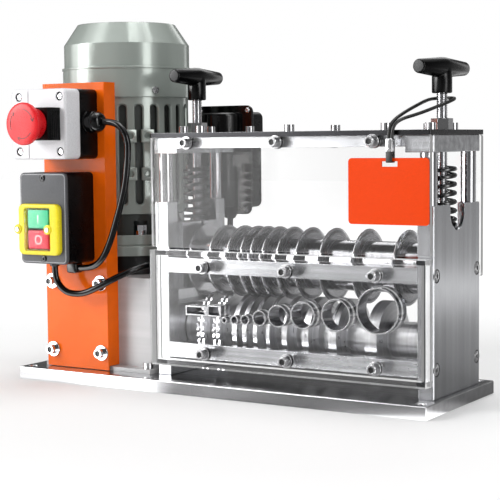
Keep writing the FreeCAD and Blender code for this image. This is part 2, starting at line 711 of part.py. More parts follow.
def make_base_plate():
    """Return the base with its mounting holes and the screw holes under the frame."""
    half_x = BASE_LENGTH / 2
    half_y = BASE_WIDTH / 2
    plate = broken_block(-half_x, half_x, -half_y, half_y, 0, BASE_THICKNESS)
    radius = MOUNT_HOLE_DIAMETER / 2
    tools = []
    for x in (-half_x + MOUNT_HOLE_INSET, half_x - MOUNT_HOLE_INSET):
        for y in (-half_y + MOUNT_HOLE_INSET, half_y - MOUNT_HOLE_INSET):
            tools.append(pin(radius, (x, y, 0), Z_AXIS, BASE_THICKNESS))
            mouth = Vector(x, y, BASE_THICKNESS - MOUNT_HOLE_CHAMFER)
            tools.append(Part.makeCone(radius, radius + MOUNT_HOLE_CHAMFER, MOUNT_HOLE_CHAMFER, mouth))
    for x, y in frame_screw_places():
        tools.append(pin(M8_HEAD_DIAMETER / 2 + SCREW_FIT, (x, y, 0), Z_AXIS, M8_RECESS))
        tools.append(screw_hole((x, y, 0), Z_AXIS, M8_DIAMETER, BASE_THICKNESS))
    for x, y in foot_screw_places():
        tools.append(screw_hole((x, y, BASE_TOP - FOOT_SCREW_DEPTH), Z_AXIS, M6_DIAMETER, FOOT_SCREW_DEPTH))
    return plate.cut(tools)


def make_frame_screws():
    """Return the screws under the frame, on the gearbox foot and through the end faces."""
    screws = []
    for x, y in frame_screw_places():
        screws.append(cap_screw((x, y, M8_RECESS), Z_AXIS, M8_DIAMETER, M8_HEAD_DIAMETER, M8_HEAD_HEIGHT, M8_LENGTH))
    length = FOOT_THICKNESS + FOOT_SCREW_DEPTH
    for x, y in foot_screw_places():
        seat = (x, y, BASE_TOP + FOOT_THICKNESS)
        screws.append(cap_screw(seat, Z_AXIS * -1, M6_DIAMETER, M6_CAP_DIAMETER, M6_CAP_HEIGHT, length))
    for y, z in side_screw_places():
        right = side_screw(y, z, 0.0)
        screws.append(right)
        screws.append(other_end(right))
    return Part.makeCompound(screws)


def side_screw_places():
    """Return where the end blocks are screwed to the tie bars."""
    places = []
    for y in (FRAME_FRONT + TIE_BAR_DEPTH / 2, FRAME_BACK - TIE_BAR_DEPTH / 2):
        for z in (LOWER_TIE_Z, UPPER_TIE_Z):
            places.append((y, z))
    return places


def side_screw(y, z, clearance):
    """Return a countersunk screw in the right end block, or its hole with a clearance."""
    slope = (M6_HEAD_DIAMETER - M6_DIAMETER) / 2
    start = Vector(FRAME_RIGHT - SIDE_SCREW_RECESS, y, z)
    inward = X_AXIS * -1
    head = Part.makeCone(M6_HEAD_DIAMETER / 2, M6_DIAMETER / 2, slope, start, inward)
    shank = Part.makeCylinder(M6_DIAMETER / 2 + clearance, M6_LENGTH, start, inward)
    if clearance:
        mouth = Part.makeCylinder(M6_HEAD_DIAMETER / 2, SIDE_SCREW_RECESS, Vector(FRAME_RIGHT, y, z), inward)
        return head.fuse([shank, mouth])
    return head.fuse(shank)


def column_places():
    """Return the centres of the two columns at the right end."""
    x = FRAME_RIGHT - COLUMN_INSET
    return [(x, AXIS_Y - COLUMN_SPACING / 2), (x, AXIS_Y + COLUMN_SPACING / 2)]


def make_right_end_block():
    """Return the right end block with its pocket, open slot and screw holes."""
    body = broken_block(INNER_RIGHT, FRAME_RIGHT, FRAME_FRONT, FRAME_BACK, BASE_TOP, BLOCK_TOP)
    pocket_front = AXIS_Y - POCKET_WIDTH / 2
    pocket_back = AXIS_Y + POCKET_WIDTH / 2
    tools = [block(INNER_RIGHT - 1, POCKET_FLOOR, pocket_front, pocket_back, POCKET_BOTTOM, BLOCK_TOP + 1)]
    slot_radius = SLOT_WIDTH / 2
    slot_z = BLOCK_TOP - SLOT_DEPTH + slot_radius
    tools.append(pin(slot_radius, (INNER_RIGHT, AXIS_Y, slot_z), X_AXIS, END_BLOCK_THICKNESS + 1))
    tools.append(block(INNER_RIGHT, FRAME_RIGHT + 1, AXIS_Y - slot_radius, AXIS_Y + slot_radius, slot_z, BLOCK_TOP + 1))
    relief_bottom = BLOCK_SEAT - CARRIAGE_DOWN - SPRING_RELIEF
    relief = SPRING_DIAMETER / 2 + SPRING_RELIEF
    tools.append(pin(relief, (SCREW_X, AXIS_Y, relief_bottom), Z_AXIS, END_BLOCK_HEIGHT))
    for x, y in column_places():
        tools.append(screw_hole((x, y, BLOCK_TOP - COLUMN_SPIGOT_LENGTH), Z_AXIS, COLUMN_SPIGOT_DIAMETER, 20))
    for x, y in frame_screw_places()[2:]:
        tools.append(screw_hole((x, y, BASE_TOP), Z_AXIS, M8_DIAMETER, M8_LENGTH + M8_RECESS - BASE_TOP))
    for y, z in side_screw_places():
        tools.append(side_screw(y, z, SCREW_FIT))
    return body.cut(tools)


def make_left_end_block(right_block):
    """Return the left end block, which the feed shaft passes through."""
    shaft_hole = pin(SHAFT_HOLE_DIAMETER / 2, (FRAME_LEFT - 1, AXIS_Y, FEED_Z), X_AXIS, END_BLOCK_THICKNESS)
    return other_end(right_block).cut(shaft_hole)


def make_lower_bearing_blocks():
    """Return the fixed bearing blocks on the pocket floors."""
    half = POCKET_WIDTH / 2 - SLIDE_FIT
    top = FEED_Z + LOWER_BLOCK_ABOVE_AXIS
    body = block(INNER_RIGHT, POCKET_FLOOR, AXIS_Y - half, AXIS_Y + half, POCKET_BOTTOM, top)
    seat = pin(FEED_BEARING_DIAMETER / 2, (INNER_RIGHT - 1, AXIS_Y, FEED_Z), X_AXIS, FEED_BEARING_WIDTH + 1)
    through = pin(BEARING_SHOULDER_RADIUS, (INNER_RIGHT - 1, AXIS_Y, FEED_Z), X_AXIS, END_BLOCK_THICKNESS + 1)
    right = body.cut([seat, through])
    return Part.makeCompound([right, other_end(right)])


def make_feed_bearings():
    """Return the bearings of the feed roller."""
    radius = FEED_BEARING_DIAMETER / 2
    place = (INNER_RIGHT, AXIS_Y, FEED_Z)
    right = bearing(place, X_AXIS, radius, FEED_BEARING_WIDTH, SHAFT_DIAMETER / 2 + RUNNING_FIT)
    return Part.makeCompound([right, other_end(right)])


def make_guide_columns():
    """Return the four columns with their spigots."""
    columns = []
    for x, y in column_places():
        length = COLUMN_HEIGHT + 2 * COLUMN_SPIGOT_LENGTH
        spigot = pin(COLUMN_SPIGOT_DIAMETER / 2, (x, y, BLOCK_TOP - COLUMN_SPIGOT_LENGTH), Z_AXIS, length)
        column = pin(COLUMN_DIAMETER / 2, (x, y, BLOCK_TOP), Z_AXIS, COLUMN_HEIGHT).fuse(spigot)
        columns.append(column)
        columns.append(other_end(column))
    return Part.makeCompound(columns)


def top_screw_places():
    """Return where the top plate is screwed down."""
    places = []
    for x in (SCREW_X, 2 * FRAME_MIDDLE - SCREW_X):
        places.append((x, AXIS_Y - TOP_SCREW_SPACING / 2))
        places.append((x, AXIS_Y + TOP_SCREW_SPACING / 2))
    for step in (-1, 0, 1):
        x = FRAME_MIDDLE + step * TOP_BAR_SCREW_PITCH
        places.append((x, FRAME_FRONT + TOP_BAR_DEPTH / 2))
        places.append((x, FRAME_BACK - TOP_BAR_DEPTH / 2))
    return places


def make_top_frame():
    """Return the two top blocks and the two bars between them."""
    left = FRAME_RIGHT - TOP_BLOCK_WIDTH
    low = RAIL_TOP - TOP_BLOCK_HEIGHT
    right_block = broken_block(left, FRAME_RIGHT, FRAME_FRONT, FRAME_BACK, low, RAIL_TOP)
    tools = [pin(SCREW_DIAMETER / 2 + SCREW_HOLE_FIT, (SCREW_X, AXIS_Y, low), Z_AXIS, TOP_BLOCK_HEIGHT)]
    for x, y in column_places():
        tools.append(screw_hole((x, y, low), Z_AXIS, COLUMN_SPIGOT_DIAMETER, COLUMN_SPIGOT_LENGTH))
    right_block = right_block.cut(tools)
    bar_low = RAIL_TOP - TOP_BAR_HEIGHT
    bar_left = 2 * FRAME_MIDDLE - left
    front_bar = block(bar_left, left, FRAME_FRONT, FRAME_FRONT + TOP_BAR_DEPTH, bar_low, RAIL_TOP)
    back_bar = block(bar_left, left, FRAME_BACK - TOP_BAR_DEPTH, FRAME_BACK, bar_low, RAIL_TOP)
    holes = []
    for x, y in top_screw_places():
        depth = M5_LENGTH - PLATE_THICKNESS
        holes.append(screw_hole((x, y, RAIL_TOP), Z_AXIS * -1, M5_DIAMETER, depth))
    holes.extend(guard_bar_holes())
    pieces = [right_block, other_end(right_block), front_bar, back_bar]
    return Part.makeCompound([piece.cut(holes) for piece in pieces])


def make_top_plate():
    """Return the top plate that covers the frame and the guards."""
    reach = GUARD_GAP + GUARD_THICKNESS
    plate = rounded_block(
        FRAME_LEFT - PLATE_END_OVERHANG, FRAME_RIGHT + PLATE_END_OVERHANG, FRAME_FRONT - reach, FRAME_BACK + reach,
        RAIL_TOP, PLATE_TOP, PLATE_CORNER_RADIUS, Z_AXIS,
    )
    tools = []
    for x in (SCREW_X, 2 * FRAME_MIDDLE - SCREW_X):
        tools.append(pin(SCREW_DIAMETER / 2 + SCREW_HOLE_FIT, (x, AXIS_Y, RAIL_TOP), Z_AXIS, PLATE_THICKNESS))
    for x, y in top_screw_places():
        tools.append(screw_hole((x, y, RAIL_TOP), Z_AXIS, M5_DIAMETER, PLATE_THICKNESS))
    return plate.cut(tools)


def make_top_screws():
    """Return the screws on the top plate."""
    down = Z_AXIS * -1
    screws = []
    for x, y in top_screw_places():
        screws.append(cap_screw((x, y, PLATE_TOP), down, M5_DIAMETER, M5_HEAD_DIAMETER, M5_HEAD_HEIGHT, M5_LENGTH))
    return Part.makeCompound(screws)


def make_adjusting_nuts():
    """Return the fixed nuts that the two lifting screws turn in."""
    nut = hexagon(NUT_ACROSS_FLATS, (SCREW_X, AXIS_Y, PLATE_TOP), Z_AXIS, NUT_HEIGHT)
    nut = nut.cut(pin(SCREW_DIAMETER / 2 + RUNNING_FIT, (SCREW_X, AXIS_Y, PLATE_TOP), Z_AXIS, NUT_HEIGHT))
    return Part.makeCompound([nut, other_end(nut)])


def make_tie_bars():
    """Return the four bars between the end blocks."""
    half = TIE_BAR_HEIGHT / 2
    holes = []
    for y, z in side_screw_places():
        right = side_screw(y, z, SCREW_FIT)
        holes.append(right)
        holes.append(other_end(right))
    holes.extend(guard_bar_holes())
    bars = []
    for y, z in side_screw_places():
        low_y = y - TIE_BAR_DEPTH / 2
        bar = block(INNER_LEFT, INNER_RIGHT, low_y, low_y + TIE_BAR_DEPTH, z - half, z + half)
        bars.append(bar.cut(holes))
    return Part.makeCompound(bars)


# Clear guards
def upper_guard_screw_xs():
    """Return the screw places along the upper guard."""
    middle = FRAME_MIDDLE + UPPER_SCREW_SHIFT
    return [middle - GUARD_SCREW_PITCH, middle, middle + GUARD_SCREW_PITCH]


def lower_guard_screw_xs():
    """Return the screw places along the lower guard."""
    middle = FRAME_MIDDLE + LOWER_SCREW_SHIFT
    return [middle - LOWER_SCREW_PITCH, middle, middle + LOWER_SCREW_PITCH]


def guard_screws():
    """Return the head seat and the direction of every guard screw."""
    reach = GUARD_GAP + GUARD_THICKNESS + GUARD_WASHER_THICKNESS
    lower_reach = LOWER_GUARD_PROJECTION + GUARD_WASHER_THICKNESS
    screws = []
    for x in upper_guard_screw_xs():
        screws.append(((x, FRAME_FRONT - reach, TOP_BAR_Z), Y_AXIS))
        screws.append(((x, FRAME_BACK + reach, TOP_BAR_Z), Y_AXIS * -1))
        screws.append(((x, FRAME_BACK + reach, UPPER_TIE_Z), Y_AXIS * -1))
    for x in lower_guard_screw_xs():
        for z in (LOWER_TIE_Z, UPPER_TIE_Z):
            screws.append(((x, FRAME_FRONT - lower_reach, z), Y_AXIS))
    return screws


def screw_lengths():
    """Return the shank length of every guard screw, in the same order."""
    lengths = []
    for seat, direction in guard_screws():
        face = FRAME_FRONT if direction.y > 0 else FRAME_BACK
        lengths.append(abs(face - seat[1]) + GUARD_SCREW_DEPTH)
    return lengths


def guard_bar_holes():
    """Return the tools for the guard screws' holes in the bars."""
    tools = []
    for (seat, direction), length in zip(guard_screws(), screw_lengths()):
        tools.append(screw_hole(seat, direction, M5_DIAMETER, length + SHAFT_END_GAP))
    return tools


def make_guard_screws():
    """Return the screws that hold the guards."""
    screws = []
    for (seat, direction), length in zip(guard_screws(), screw_lengths()):
        screws.append(cap_screw(seat, direction, M5_DIAMETER, M5_HEAD_DIAMETER, M5_HEAD_HEIGHT, length))
    return Part.makeCompound(screws)


def guard_holes():
    """Return the tools for the screw holes of all guards."""
    tools = []
    for seat, direction in guard_screws():
        tools.append(screw_hole(seat, direction, M5_DIAMETER, GUARD_WASHER_THICKNESS + GUARD_THICKNESS + 1))
    return tools


def make_upper_guard():
    """Return the clear sheet in front of the blade roller."""
    front = FRAME_FRONT - GUARD_GAP - GUARD_THICKNESS
    low = RAIL_TOP - UPPER_GUARD_HEIGHT
    sheet = rounded_block(
        FRAME_LEFT, FRAME_RIGHT, front, front + GUARD_THICKNESS, low, RAIL_TOP, GUARD_CORNER_RADIUS, Y_AXIS
    )
    return sheet.cut(guard_holes())


def make_rear_guard():
    """Return the clear sheet behind the blade roller."""
    back = FRAME_BACK + GUARD_GAP + GUARD_THICKNESS
    low = RAIL_TOP - REAR_GUARD_HEIGHT
    sheet = rounded_block(
        FRAME_LEFT, FRAME_RIGHT, back - GUARD_THICKNESS, back, low, RAIL_TOP, GUARD_CORNER_RADIUS, Y_AXIS
    )
    return sheet.cut(guard_holes())


def make_lower_guard():
    """Return the clear box in front of the feed roller, with a hole for each wire guide."""
    left = FRAME_LEFT + LOWER_GUARD_LEFT_INSET
    right = FRAME_RIGHT - LOWER_GUARD_RIGHT_INSET
    front = FRAME_FRONT - LOWER_GUARD_PROJECTION
    low = BASE_TOP + LOWER_GUARD_BOTTOM
    high = low + LOWER_GUARD_HEIGHT
    sheet = GUARD_THICKNESS
    shell = block(left, right, front, FRAME_FRONT, low, high)
    inside = block(left + sheet, right - sheet, front + sheet, FRAME_FRONT + 1, low + sheet, high - sheet)
    tools = [inside] + guard_holes()
    for index in range(len(GUIDE_WIDTHS)):
        tools.append(guide_outline(index, SEAT_FIT))
    return shell.cut(tools)


def make_spacers():
    """Return the washers and sleeves of the guards and of the control bracket."""
    pieces = []
    bore = M5_DIAMETER / 2 + SCREW_FIT
    for seat, direction in guard_screws():
        start = Vector(*seat)
        pieces.append(ring(GUARD_WASHER_DIAMETER / 2, bore, start, direction, GUARD_WASHER_THICKNESS))
        sleeve = start + direction * (GUARD_WASHER_THICKNESS + GUARD_THICKNESS)
        face = FRAME_FRONT if direction.y > 0 else FRAME_BACK
        pieces.append(ring(GUARD_SLEEVE_DIAMETER / 2, bore, sleeve, direction, abs(face - sleeve.y)))
    bore = M6_DIAMETER / 2 + SCREW_FIT
    for x, z in bracket_screw_places():
        washer = (x, BRACKET_FACE - BRACKET_WASHER_THICKNESS, z)
        pieces.append(ring(BRACKET_WASHER_DIAMETER / 2, bore, washer, Y_AXIS, BRACKET_WASHER_THICKNESS))
        pieces.append(ring(BRACKET_TUBE_DIAMETER / 2, bore, (x, BRACKET_BACK, z), Y_AXIS, BRACKET_STANDOFF))
    return Part.makeCompound(pieces)


# Wire guides
def guide_centre(index):
    """Return the middle of a guide's front rim."""
    x = blade_positions()[index] + GUIDE_SHIFTS[index]
    y = FRAME_FRONT - LOWER_GUARD_PROJECTION - GUIDE_PROJECTION
    rise = FLAT_GUIDE_RISE if index < FLAT_GUIDE_COUNT else 0
    z = BASE_TOP + GUIDE_BOTTOM_HEIGHT + rise + GUIDE_HEIGHTS[index] / 2
    return x, y, z


def guide_outline(index, growth):
    """Return the outside of a guide as a solid bar, grown by a clearance."""
    x, y, z = guide_centre(index)
    half_width = GUIDE_WIDTHS[index] / 2 + growth
    half_height = GUIDE_HEIGHTS[index] / 2 + growth
    if index < FLAT_GUIDE_COUNT:
        return block(x - half_width, x + half_width, y, y + GUIDE_LENGTH, z - half_height, z + half_height)
    return pin(half_width, (x, y, z), Y_AXIS, GUIDE_LENGTH)


def make_guides(indices):
    """Return the wire guides with these numbers."""
    return Part.makeCompound([guide_outline(index, 0).cut(guide_outline(index, -GUIDE_WALL)) for index in indices])


# Rollers
def toothed_ring(x, radius):
    """Return a ring whose rim has feeding teeth."""
    corners = []
    for step in range(2 * TOOTH_RING_TEETH):
        angle = math.pi * step / TOOTH_RING_TEETH
        reach = radius if step % 2 == 0 else radius - TOOTH_DEPTH
        corners.append(Vector(x, AXIS_Y + reach * math.cos(angle), FEED_Z + reach * math.sin(angle)))
    return prism(corners, X_AXIS, TOOTH_RING_WIDTH)


def feed_profile():
    """Return the outline of the grooved feed roller from its left end."""
    shaft = SHAFT_DIAMETER / 2
    blades = blade_positions()
    left = INNER_LEFT + ROLLER_END_GAP
    right = INNER_RIGHT - ROLLER_END_GAP
    first = blades[0] - FIRST_FLANGE_OFFSET
    profile = [(GEARBOX_LEFT + FEED_SHAFT_INSET, 0), (GEARBOX_LEFT + FEED_SHAFT_INSET, shaft), (left, shaft)]
    profile.append((left, FLOOR_RADII[0]))
    profile.append((first, FLOOR_RADII[0]))
    profile.append((first, FEED_FLANGE_RADIUS))
    profile.append((first + FIRST_FLANGE_WIDTH, FEED_FLANGE_RADIUS))
    profile.append((first + FIRST_FLANGE_WIDTH, FLOOR_RADII[0]))
    for index, width in enumerate(FLANGE_WIDTHS):
        start = blades[index] + FLANGE_OFFSETS[index]
        slope = FLANGE_SLOPE if index >= FIRST_SLOPED_FLANGE else 0
        profile.append((start - slope, FLOOR_RADII[index]))
        profile.append((start, FEED_FLANGE_RADIUS))
        profile.append((start + width, FEED_FLANGE_RADIUS))
        profile.append((start + width + slope, FLOOR_RADII[index + 1]))
    collar = right - END_COLLAR_WIDTH
    profile.append((collar, FLOOR_RADII[-1]))
    profile.append((collar, END_COLLAR_RADIUS))
    profile.append((right, END_COLLAR_RADIUS))
    profile.append((right, shaft))
    profile.append((INNER_RIGHT + FEED_BEARING_WIDTH, shaft))
    profile.append((INNER_RIGHT + FEED_BEARING_WIDTH, 0))
    return profile


def make_feed_roller():
    """Return the driven roller with its shaft and the teeth of the small channels."""
    roller = turned(feed_profile(), (0, AXIS_Y, FEED_Z), X_AXIS)
    blades = blade_positions()
    starts = [blades[0] - FIRST_FLANGE_OFFSET, blades[0] + FLANGE_OFFSETS[0]]
    trims = []
    rings = []
    for start in starts:
        trim = ring(FEED_FLANGE_RADIUS + 1, FEED_FLANGE_RADIUS - TOOTH_DEPTH, (start, AXIS_Y, FEED_Z), X_AXIS,
                    FIRST_FLANGE_WIDTH)
        trims.append(trim)
        rings.append(toothed_ring(start, FEED_FLANGE_RADIUS))
        rings.append(toothed_ring(start + FIRST_FLANGE_WIDTH - TOOTH_RING_WIDTH, FEED_FLANGE_RADIUS))
    return roller.cut(trims).fuse(rings).removeSplitter()


def make_worm_wheel():
    """Return the wheel that the motor's worm turns."""
    root = WORM_MODULE * WORM_WHEEL_TEETH / 2 - WORM_MODULE * WORM_ROOT_FACTOR
    tip = WORM_MODULE * WORM_WHEEL_TEETH / 2 + WORM_MODULE
    start = MOTOR_X - WORM_WHEEL_WIDTH / 2
    step = 2 * math.pi / WORM_WHEEL_TEETH
    root_half = WORM_ROOT_THICKNESS / 2 / root
    tip_half = WORM_TIP_THICKNESS / 2 / tip
    corners = []
    for tooth in range(WORM_WHEEL_TEETH):
        middle = (tooth + 0.5) * step
        for angle, radius in (
            (middle - root_half, root), (middle - tip_half, tip), (middle + tip_half, tip), (middle + root_half, root)
        ):
            corners.append(Vector(start, AXIS_Y + radius * math.cos(angle), FEED_Z + radius * math.sin(angle)))
    wheel = prism(corners, X_AXIS, WORM_WHEEL_WIDTH)
    return wheel.cut(pin(SHAFT_DIAMETER / 2, (start, AXIS_Y, FEED_Z), X_AXIS, WORM_WHEEL_WIDTH))


def make_blade_shaft():
    """Return the blade roller's shaft with its spacer barrel and left end flange."""
    shaft = SHAFT_DIAMETER / 2
    reach = UPPER_BLOCK_THICKNESS - UPPER_BLOCK_STANDOUT - SHAFT_END_GAP
    left = INNER_LEFT + UPPER_BLOCK_STANDOUT + ROLLER_END_GAP
    right = INNER_RIGHT - UPPER_BLOCK_STANDOUT - ROLLER_END_GAP
    flange = left + END_FLANGE_OFFSET
    profile = [(INNER_LEFT - reach, 0), (INNER_LEFT - reach, shaft), (left, shaft), (left, SPACER_RADIUS)]
    profile.append((flange, SPACER_RADIUS))
    profile.append((flange, END_FLANGE_RADIUS))
    profile.append((flange + END_FLANGE_THICKNESS, END_FLANGE_RADIUS))
    profile.append((flange + END_FLANGE_THICKNESS, SPACER_RADIUS))
    for centre in blade_positions():
        profile.append((centre - BLADE_THICKNESS / 2, SPACER_RADIUS))
        profile.append((centre - BLADE_THICKNESS / 2, shaft))
        profile.append((centre + BLADE_THICKNESS / 2, shaft))
        profile.append((centre + BLADE_THICKNESS / 2, SPACER_RADIUS))
    profile.append((right, SPACER_RADIUS))
    profile.append((right, shaft))
    profile.append((INNER_RIGHT + reach, shaft))
    profile.append((INNER_RIGHT + reach, 0))
    return turned(profile, (0, AXIS_Y, BLADE_Z), X_AXIS)


def make_blades():
    """Return the ten round blades."""
    half = BLADE_THICKNESS / 2
    edge = BLADE_EDGE_WIDTH / 2
    bevel = BLADE_RADIUS - BLADE_BEVEL_HEIGHT
    shaft = SHAFT_DIAMETER / 2
    profile = [(-half, shaft), (-half, bevel), (-edge, BLADE_RADIUS), (edge, BLADE_RADIUS), (half, bevel), (half, shaft)]
    return Part.makeCompound([turned(profile, (x, AXIS_Y, BLADE_Z), X_AXIS) for x in blade_positions()])


# Screw-down carriage
def make_upper_bearing_blocks():
    """Return the sliding bearing blocks, slotted for the heads of the lifting screws."""
    half = POCKET_WIDTH / 2 - SLIDE_FIT
    inner = INNER_RIGHT - UPPER_BLOCK_STANDOUT
    outer = inner + UPPER_BLOCK_THICKNESS
    body = block(inner, outer, AXIS_Y - half, AXIS_Y + half, BLADE_Z - UPPER_BLOCK_BELOW_AXIS, BLOCK_SEAT)
    seat = pin(BEARING_DIAMETER / 2, (outer - BEARING_WIDTH, AXIS_Y, BLADE_Z), X_AXIS, BEARING_WIDTH + 1)
    through = pin(BEARING_SHOULDER_RADIUS, (inner - 1, AXIS_Y, BLADE_Z), X_AXIS, UPPER_BLOCK_THICKNESS)
    neck = SCREW_NECK_DIAMETER / 2 + HEAD_PLAY
    head = SCREW_HEAD_DIAMETER / 2 + HEAD_PLAY
    head_top = BLOCK_SEAT - SCREW_NECK_LENGTH
    head_low = head_top - SCREW_HEAD_THICKNESS - 2 * HEAD_PLAY
    tools = [seat, through]
    for radius, low, high in ((neck, head_low, BLOCK_SEAT + 1), (head, head_low, head_top)):
        tools.append(pin(radius, (SCREW_X, AXIS_Y, low), Z_AXIS, high - low))
        tools.append(block(inner - 1, SCREW_X, AXIS_Y - radius, AXIS_Y + radius, low, high))
    right = body.cut(tools)
    return Part.makeCompound([right, other_end(right)])


def make_carriage_bearings():
    """Return the bearings of the blade roller."""
    start = (INNER_RIGHT - UPPER_BLOCK_STANDOUT + UPPER_BLOCK_THICKNESS - BEARING_WIDTH, AXIS_Y, BLADE_Z)
    right = bearing(start, X_AXIS, BEARING_DIAMETER / 2, BEARING_WIDTH, SHAFT_DIAMETER / 2 + RUNNING_FIT)
    return Part.makeCompound([right, other_end(right)])


def make_springs():
    """Return the springs that stand on the sliding blocks around the screws."""
    right = spring(SCREW_X, AXIS_Y, BLOCK_SEAT)
    left = spring(2 * FRAME_MIDDLE - SCREW_X, AXIS_Y, BLOCK_SEAT)
    return Part.makeCompound([right, left])


def handle_base():
    """Return the height of the underside of the T-handle's boss."""
    return PLATE_TOP + NUT_HEIGHT + HANDLE_BOSS_GAP


def make_lifting_screw(x):
    """Return a threaded screw with a captive head at its lower end."""
    head_top = BLOCK_SEAT - SCREW_NECK_LENGTH - HEAD_PLAY
    head = SCREW_HEAD_DIAMETER / 2
    neck = SCREW_NECK_DIAMETER / 2
    thread = SCREW_DIAMETER / 2
    shoulder = BLOCK_SEAT + HEAD_PLAY
    top = handle_base() + HANDLE_SCREW_DEPTH
    profile = [
        (head_top - SCREW_HEAD_THICKNESS, 0), (head_top - SCREW_HEAD_THICKNESS, head), (head_top, head), (head_top, neck),
        (shoulder, neck), (shoulder, thread), (top, thread), (top, 0),
    ]
    return turned(profile, (x, AXIS_Y, 0), Z_AXIS)


def make_handle(x, angle):
    """Return a T-handle, turned by an angle about its screw."""
    low = handle_base()
    high = low + HANDLE_BOSS_HEIGHT
    bar_z = high + HANDLE_MIDDLE_DIAMETER / 2 - HANDLE_SINK
    half = HANDLE_LENGTH / 2
    middle = HANDLE_MIDDLE_DIAMETER / 2
    end = HANDLE_END_DIAMETER / 2
    bar = turned(
        [(-half, 0), (-half, end - HANDLE_END_CAP), (HANDLE_END_CAP - half, end), (-HANDLE_SHOULDER, end),
         (-HANDLE_BELLY, middle), (HANDLE_BELLY, middle), (HANDLE_SHOULDER, end), (half - HANDLE_END_CAP, end),
         (half, end - HANDLE_END_CAP), (half, 0)],
        (x, AXIS_Y, bar_z), Y_AXIS,
    )
    boss = pin(HANDLE_BOSS_DIAMETER / 2, (x, AXIS_Y, low), Z_AXIS, bar_z - low)
    handle = bar.fuse(boss).cut(pin(SCREW_DIAMETER / 2, (x, AXIS_Y, low), Z_AXIS, HANDLE_SCREW_DEPTH))
    handle.rotate(Vector(x, AXIS_Y, 0), Z_AXIS, angle)
    return handle


# Gearbox and motor
def make_gearbox_housing():
    """Return the gearbox with its foot, its cavity and the bores of its two shafts."""
    body = rounded_block(
        GEARBOX_LEFT, GEARBOX_RIGHT, GEARBOX_FRONT, GEARBOX_BACK, BASE_TOP, GEARBOX_TOP, GEARBOX_EDGE_RADIUS, Z_AXIS
    )
    foot = block(
        GEARBOX_LEFT - FOOT_SIDE_MARGIN, GEARBOX_RIGHT + FOOT_SIDE_MARGIN, GEARBOX_FRONT - FOOT_FRONT_MARGIN,
        GEARBOX_BACK + FOOT_FRONT_MARGIN, BASE_TOP, BASE_TOP + FOOT_THICKNESS,
    )
    wall = GEARBOX_WALL
    cavity = block(
        GEARBOX_LEFT + wall, GEARBOX_RIGHT - wall, GEARBOX_FRONT + wall, GEARBOX_BACK - wall,
        BASE_TOP + GEARBOX_FLOOR, GEARBOX_TOP - wall,
    )
    shaft = SHAFT_DIAMETER / 2 + RUNNING_FIT
    feed_start = GEARBOX_LEFT + FEED_SHAFT_INSET - SHAFT_END_GAP
    motor_shaft = MOTOR_SHAFT_DIAMETER / 2 + RUNNING_FIT
    tail = WORM_TAIL_RADIUS + RUNNING_FIT
    tools = [
        cavity,
        pin(shaft, (feed_start, AXIS_Y, FEED_Z), X_AXIS, GEARBOX_LENGTH),
        pin(motor_shaft, (MOTOR_X, MOTOR_Y, GEARBOX_TOP - wall - 1), Z_AXIS, wall + 2),
        pin(tail, (MOTOR_X, MOTOR_Y, BASE_TOP + WORM_TAIL_INSET - SHAFT_END_GAP), Z_AXIS, GEARBOX_FLOOR),
    ]
    for x, y in foot_screw_places():
        tools.append(screw_hole((x, y, BASE_TOP), Z_AXIS, M6_DIAMETER, FOOT_THICKNESS))
    for x, z in bracket_screw_places():
        tools.append(screw_hole((x, GEARBOX_FRONT, z), Y_AXIS, M6_DIAMETER, BRACKET_SCREW_DEPTH))
    return body.fuse(foot).cut(tools).removeSplitter()


def make_motor_adapter():
    """Return the plate between the gearbox and the motor."""
    shaft = MOTOR_SHAFT_DIAMETER / 2 + SLIDE_FIT
    profile = [(GEARBOX_TOP, shaft), (GEARBOX_TOP, ADAPTER_RADIUS), (ADAPTER_TOP, ADAPTER_RADIUS), (ADAPTER_TOP, shaft)]
    return turned(profile, (MOTOR_X, MOTOR_Y, 0), Z_AXIS)


def around_motor(angle, radius, z):
    """Return a place around the motor, with the angle counted from the front to the right."""
    turn = math.radians(angle)
    return Vector(MOTOR_X + radius * math.sin(turn), MOTOR_Y - radius * math.cos(turn), z)


def outward(angle):
    """Return the outward direction at an angle around the motor."""
    turn = math.radians(angle)
    return Vector(math.sin(turn), -math.cos(turn), 0)


def flange_bolt_angles():
    """Return the angles of the motor flange's bolts."""
    return [FLANGE_BOLT_ANGLE + 90 * step for step in range(4)]


def make_motor_flange():
    """Return the motor's lower end shield with its double flange and shaft bearing."""
    shaft = MOTOR_SHAFT_DIAMETER / 2 + RUNNING_FIT
    middle = (ADAPTER_TOP + FLANGE_TOP) / 2
    neck = MOTOR_FLANGE_RADIUS - FLANGE_GROOVE
    profile = [
        (ADAPTER_TOP, shaft), (ADAPTER_TOP, MOTOR_FLANGE_RADIUS), (middle - FLANGE_GROOVE, MOTOR_FLANGE_RADIUS),
        (middle, neck), (middle + FLANGE_GROOVE, MOTOR_FLANGE_RADIUS), (FLANGE_TOP, MOTOR_FLANGE_RADIUS),
        (FLANGE_TOP, END_SHIELD_RADIUS), (SHIELD_TOP, END_SHIELD_RADIUS), (SHIELD_TOP, shaft),
    ]
    shape = turned(profile, (MOTOR_X, MOTOR_Y, 0), Z_AXIS)
    pockets = []
    for angle in flange_bolt_angles():
        place = around_motor(angle, FLANGE_BOLT_CIRCLE, FLANGE_TOP)
        pockets.append(pin(HEX_BOLT_POCKET, place, Z_AXIS, HEX_BOLT_POCKET_HEIGHT))
    return shape.cut(pockets)


